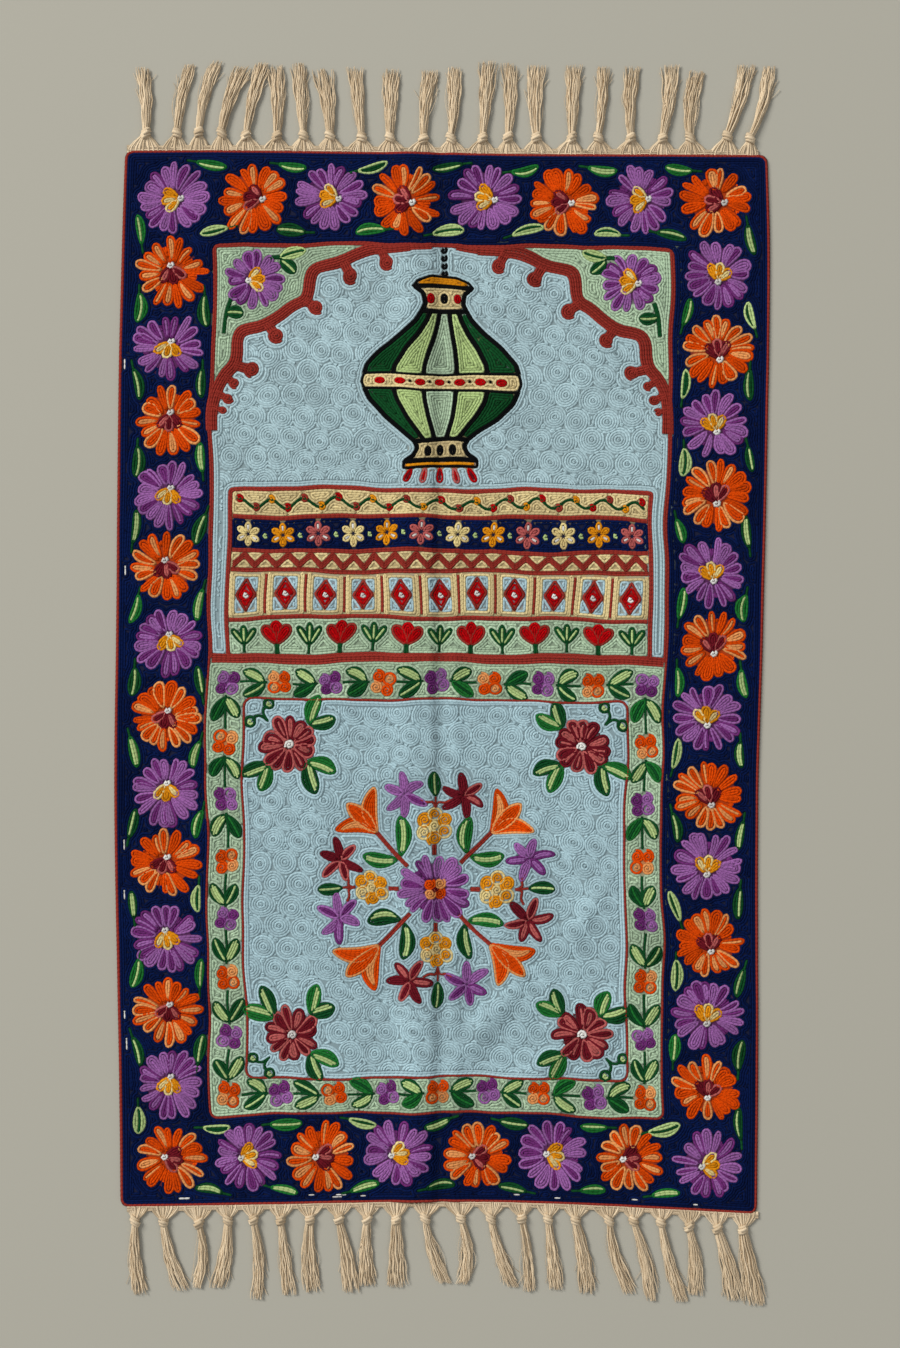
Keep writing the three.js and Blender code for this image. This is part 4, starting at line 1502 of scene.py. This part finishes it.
cloth_mesh.materials.append(cotton_finish("cotton_top", True))
cloth_mesh.materials.append(cotton_finish("cotton_back", False))
side = np.zeros(len(cloth_mesh.polygons), np.int32)
side[len(quads):] = 1
cloth_mesh.polygons.foreach_set("material_index", side)
cloth_mesh.update()

# %% [markdown]
# ## The fringe
# The cloth's own lengthwise threads leave the hem and are gathered by the handful. Each handful is tied in a
# knot close to the hem, and hangs on from there as a loose, slightly twisted tassel with frayed ends.
# Each yarn is one path, from the hem through the knot to its own end. The tables give each tassel as it
# lies: where its knot is, how far off the hem, and how the tail leans and bows.

# %% Fringe tables
TASSEL_COLUMNS = ("knot", "drop", "lean", "reach", "bow", "fan")
HEAD_TASSELS = (
    (-325, 19, -4, 69, 2, 14), (-291, 19, 14, 72, -2, 13), (-267, 20, 18, 75, -3, 12),
    (-242, 19, 23, 70, -3, 15), (-215, 17, 18, 76, -2, 12), (-181, 16, -1, 75, 2, 14),
    (-152, 17, -5, 76, 0, 13), (-123, 18, -8, 69, 2, 15), (-88, 16, -7, 74, 0, 14),
    (-57, 16, 2, 72, 0, 15), (-20, 15, 8, 72, -2, 13), (10, 16, 3, 75, 2, 12),
    (45, 17, 6, 81, 0, 14), (73, 18, 1, 78, 2, 13), (104, 18, 0, 76, -2, 16),
    (143, 18, 2, 77, 0, 14), (172, 18, 6, 75, 2, 12), (208, 18, 3, 75, -2, 14),
    (243, 18, 10, 77, 2, 15), (273, 18, 8, 71, -3, 16), (314, 20, 20, 76, 3, 15),
    (339, 18, 20, 76, 4, 12),
)
FOOT_TASSELS = (
    (-337, 16, 5, 77, -2, 13), (-306, 17, 20, 72, -3, 13), (-267, 19, -2, 68, 6, 12),
    (-235, 16, -11, 71, 3, 14), (-207, 16, 3, 84, 4, 13), (-177, 17, 9, 79, 0, 12),
    (-145, 17, 3, 77, -3, 16), (-113, 17, 12, 78, 2, 14), (-82, 18, 1, 70, -2, 15),
    (-50, 19, 0, 71, 0, 19), (-18, 18, 21, 68, -3, 12), (21, 18, 2, 69, 6, 12),
    (54, 18, 23, 72, -2, 13), (88, 17, 9, 77, 2, 12), (117, 17, 9, 74, 0, 13),
    (147, 17, 13, 78, 2, 18), (184, 16, 22, 77, -4, 12), (211, 15, 19, 84, 3, 12),
    (241, 15, 23, 84, -2, 12), (272, 17, 7, 73, 3, 13), (303, 18, 18, 76, 2, 17),
    (331, 18, 14, 80, 0, 19),
)

# %% Fringe yarns
YARNS, LOOSE_YARNS = 30, 6
YARN_WIDTH = 1.6
KNOT_TURNS, KNOT_STEP = 3, 2.9
KNOT_HEIGHT, KNOT_HALF_WIDTH = 6.2, 4.4
TAIL_POINTS = 12
YARN_GIRTHS = (1.5, 1.4, 1.2, 1, *np.linspace(1, 0.95, TAIL_POINTS - 3), 0.9, 0.75, 0.45)
LOOSE_GIRTH, KNOT_GIRTH, HEADING_GIRTH = 0.34, 3.0, 1.2
dice_fringe = np.random.default_rng(31)


def hem_at(x, side):
    """Where the hem is on the mat, at this place across it."""
    return on_mat(np.array([[x, side * half_length]]))[0, 1]


def knot_place(tassel, side):
    return tassel["knot"], hem_at(tassel["knot"], side) + side * tassel["drop"]


def yarn_path(tassel, side, share, hem_from, hem_to):
    """One yarn from under the hem to its end: gathered into the knot, then loose."""
    hem_x = hem_from + (hem_to - hem_from) * (share + dice_fringe.uniform(-0.02, 0.02))
    hem_y = hem_at(hem_x, side)
    knot_x, knot_y = knot_place(tassel, side)
    aside, layer = share * 2 - 1 + dice_fringe.uniform(-0.15, 0.15), dice_fringe.random()
    points = []
    for t in (-0.12, 0.2, 0.5, 0.8):
        toward = max(t, 0) ** 1.5 * 0.96
        height = 0.5 + 2.4 * max(t, 0) * (1 - abs(aside) * 0.6) + layer * 0.5
        points.append((hem_x + (knot_x - hem_x) * toward, hem_y + (knot_y - hem_y) * t, height))
    twist = 0.5 + tassel["bow"] * 0.15
    reach = tassel["reach"] + 4 - 11 * dice_fringe.random() ** 2
    stray, phase = dice_fringe.uniform(-2, 2), dice_fringe.uniform(0, 6)
    for t in np.linspace(0.05, 1, TAIL_POINTS):
        half = tassel["fan"] / 2 * (0.38 + 0.78 * t**0.8)
        in_bundle = aside * math.cos(twist * t) + (layer * 1.6 - 0.8) * math.sin(twist * t)
        x = knot_x + tassel["lean"] * t + tassel["bow"] * math.sin(math.pi * t) + half * in_bundle
        x += stray * t**3 + 0.8 * math.sin(17 * t + phase) * min(1, 2 * t)
        height = 0.9 + (0.3 + layer * (3.6 - 2.2 * t)) * (1 - 0.5 * min(1, in_bundle**2))
        points.append((x, knot_y + side * reach * t, height))
    return np.array(points)


def loose_path(tassel, side):
    """A thin yarn that has come out of its tassel and lies beside it."""
    knot_x, knot_y = knot_place(tassel, side)
    start = dice_fringe.uniform(0.15, 0.5)
    away = dice_fringe.choice([-1, 1]) * dice_fringe.uniform(4, 12)
    curl = dice_fringe.uniform(-5, 5)
    t = np.linspace(0, 1, 9)
    way = start + (1 - start) * t * dice_fringe.uniform(0.6, 1)
    x = knot_x + tassel["lean"] * way + tassel["bow"] * np.sin(math.pi * way)
    x += away * t**1.5 + np.sign(away) * tassel["fan"] * 0.35 * (1 - t) + curl * np.sin(4 * t)
    return np.stack([x, knot_y + side * tassel["reach"] * way, 0.9 + 2 * (1 - t) ** 2], 1)


def knot_paths(tassel, side):
    """The knot: a few turns that wrap the handful on a slant."""
    knot_x, knot_y = knot_place(tassel, side)
    slant = dice_fringe.uniform(0.25, 0.7) * dice_fringe.choice([-1, 1])
    angles = np.linspace(0.02, 0.98, 9) * math.pi
    for number in range(KNOT_TURNS):
        along = (number - (KNOT_TURNS - 1) / 2) * KNOT_STEP
        swell = 1 - 0.16 * (along / KNOT_STEP) ** 2 + dice_fringe.uniform(-0.06, 0.06)
        x = knot_x + KNOT_HALF_WIDTH * swell * np.cos(angles)
        y = knot_y + along + slant * (x - knot_x)
        yield np.stack([x, y, 1.2 + (KNOT_HEIGHT - 2.6) * swell * np.sin(angles)], 1)


def fringe_paths(table, side):
    """All yarns and knots of one end: points, pairs and how thick each point is."""
    rows = [dict(zip(TASSEL_COLUMNS, row)) for row in table]
    knots = [row["knot"] for row in rows]
    bounds = [-half_width + 6] + [(a + b) / 2 for a, b in zip(knots, knots[1:])] + [half_width - 4]
    paths, girths = [], []
    for row, start, end in zip(rows, bounds, bounds[1:]):
        for number in range(YARNS):
            paths.append(yarn_path(row, side, (number + 0.5) / YARNS, start, end))
            girths.append(YARN_GIRTHS)
        for number in range(LOOSE_YARNS):
            paths.append(loose_path(row, side))
            girths.append(np.full(len(paths[-1]), LOOSE_GIRTH))
        for path in knot_paths(row, side):
            paths.append(path)
            girths.append(np.full(len(path), KNOT_GIRTH))
    heading = np.linspace(bounds[0], bounds[-1], 90)
    for away in (0.9, 2.2, 3.5, 4.8):
        hem = np.array([hem_at(x, side) for x in heading])
        scallop = 0.3 * np.sin(heading * 0.9 + away)
        paths.append(np.stack([heading, hem + side * (away + scallop), np.full(90, 1.2)], 1))
        girths.append(np.full(90, HEADING_GIRTH))
    points = np.concatenate(paths)
    points[:, :2] += SHIFT
    pairs, count = [], 0
    for path in paths:
        pairs.append(joined(count, len(path)))
        count += len(path)
    return points * MM, np.concatenate(pairs), {"girth": np.concatenate(girths)}


# %% [markdown]
# ## The yarn tool
# The second tool turns a path into one soft cotton yarn. Its thickness comes from a number stored on
# the path, so a yarn can thin out at its frayed end.

# %% Yarn tree
yarn_tool, given, made = new_tool("cotton_yarn", {"Width": YARN_WIDTH * MM})
curves = result(yarn_tool, "GeometryNodeMeshToCurve", [("Mesh", given["Paths"])])
curves = result(yarn_tool, "GeometryNodeSetCurveNormal", [("Curve", curves)], mode="Z_UP")
curves, _ = keep_tone(yarn_tool, curves, given["Seed"])
along = result(yarn_tool, "GeometryNodeSplineParameter", output="Length")
curves = keep_number(yarn_tool, curves, "along", along)
radius = sum_of(yarn_tool, "MULTIPLY", given["Width"], 0.5)
inputs = [("Resolution", 3), ("Radius", radius)]
ring = result(yarn_tool, "GeometryNodeCurvePrimitiveCircle", inputs, mode="RADIUS")
section = result(yarn_tool, "GeometryNodeTransform", [("Geometry", ring), ("Rotation", (0, 0, math.pi / 2))])
girth = read_note(yarn_tool, "girth")
inputs = [("Curve", curves), ("Profile Curve", section), ("Scale", girth), ("Fill Caps", True)]
swept = result(yarn_tool, "GeometryNodeCurveToMesh", inputs)
end_tool(yarn_tool, swept, given["Finish"], made)


def yarn_finish():
    """Undyed cotton, a little grey with use, finely mottled."""
    finish, tree, shader = new_finish("fringe_cotton", 0.86, 0.08)
    place = place_on_piece(tree)
    clouds, fine = noise(tree, place, 30.0, 3.0), noise(tree, place, 700.0, 2.0)
    amount = blend(tree, number_of(tree, "tone"), 0.6, clouds, 0.4)
    base = mixed(tree, amount, as_linear((178, 154, 121)), as_linear((240, 217, 182)))
    mottled = mixed(tree, 0.7, base, shades(tree, fine, [(0.3, 0.8), (0.7, 1.1)]), "MULTIPLY")
    dress(tree, shader, mottled, fine, 0.5, 0.0004)
    return finish


# %% Fringe pieces
fringe_finish = yarn_finish()
fringes = {}
for end, table, side in (("head", HEAD_TASSELS, 1), ("foot", FOOT_TASSELS, -1)):
    paths = fringe_paths(table, side)
    fringe = apply_tool(f"fringe_{end}_yarns", *paths, yarn_tool, Finish=fringe_finish, Seed=3)
    map_from_above(fringe.data)
    fringes[end] = fringe
    print("fringe", end, count_triangles(fringe), "triangles")

# %% [markdown]
# ## Floor and finish
# The floor is a plain pale wall paint, far wider than the picture. Then every piece is named to the
# frame, and the triangles of all pieces are counted.

# %% Floor
FLOOR_SIZE = 6
FLOOR_GAP = 0.0004
floor_mesh = bpy.data.meshes.new("floor")
corners = [(x * FLOOR_SIZE / 2, y * FLOOR_SIZE / 2, 0) for x, y in ((-1, -1), (1, -1), (1, 1), (-1, 1))]
floor_mesh.from_pydata(corners, [], [(0, 1, 2, 3)])
floor = put_in_scene("floor", floor_mesh)
floor.location.z = -FLOOR_GAP
floor_finish, _, floor_shader = new_finish("floor_paint", 0.9, 0.0)
floor_shader.inputs["Base Color"].default_value = as_linear((176, 172, 158))
floor_mesh.materials.append(floor_finish)

# %% Hand the pieces to the frame
for piece in [*wool_pieces.values(), cloth]:
    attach(piece, "root")
for end, piece in fringes.items():
    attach(piece, "root")
    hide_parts("fringe_" + end)
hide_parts("mat_cloth")

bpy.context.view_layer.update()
total = sum(count_triangles(piece) for piece in [*wool_pieces.values(), cloth, *fringes.values()])
print("triangles in all", total)
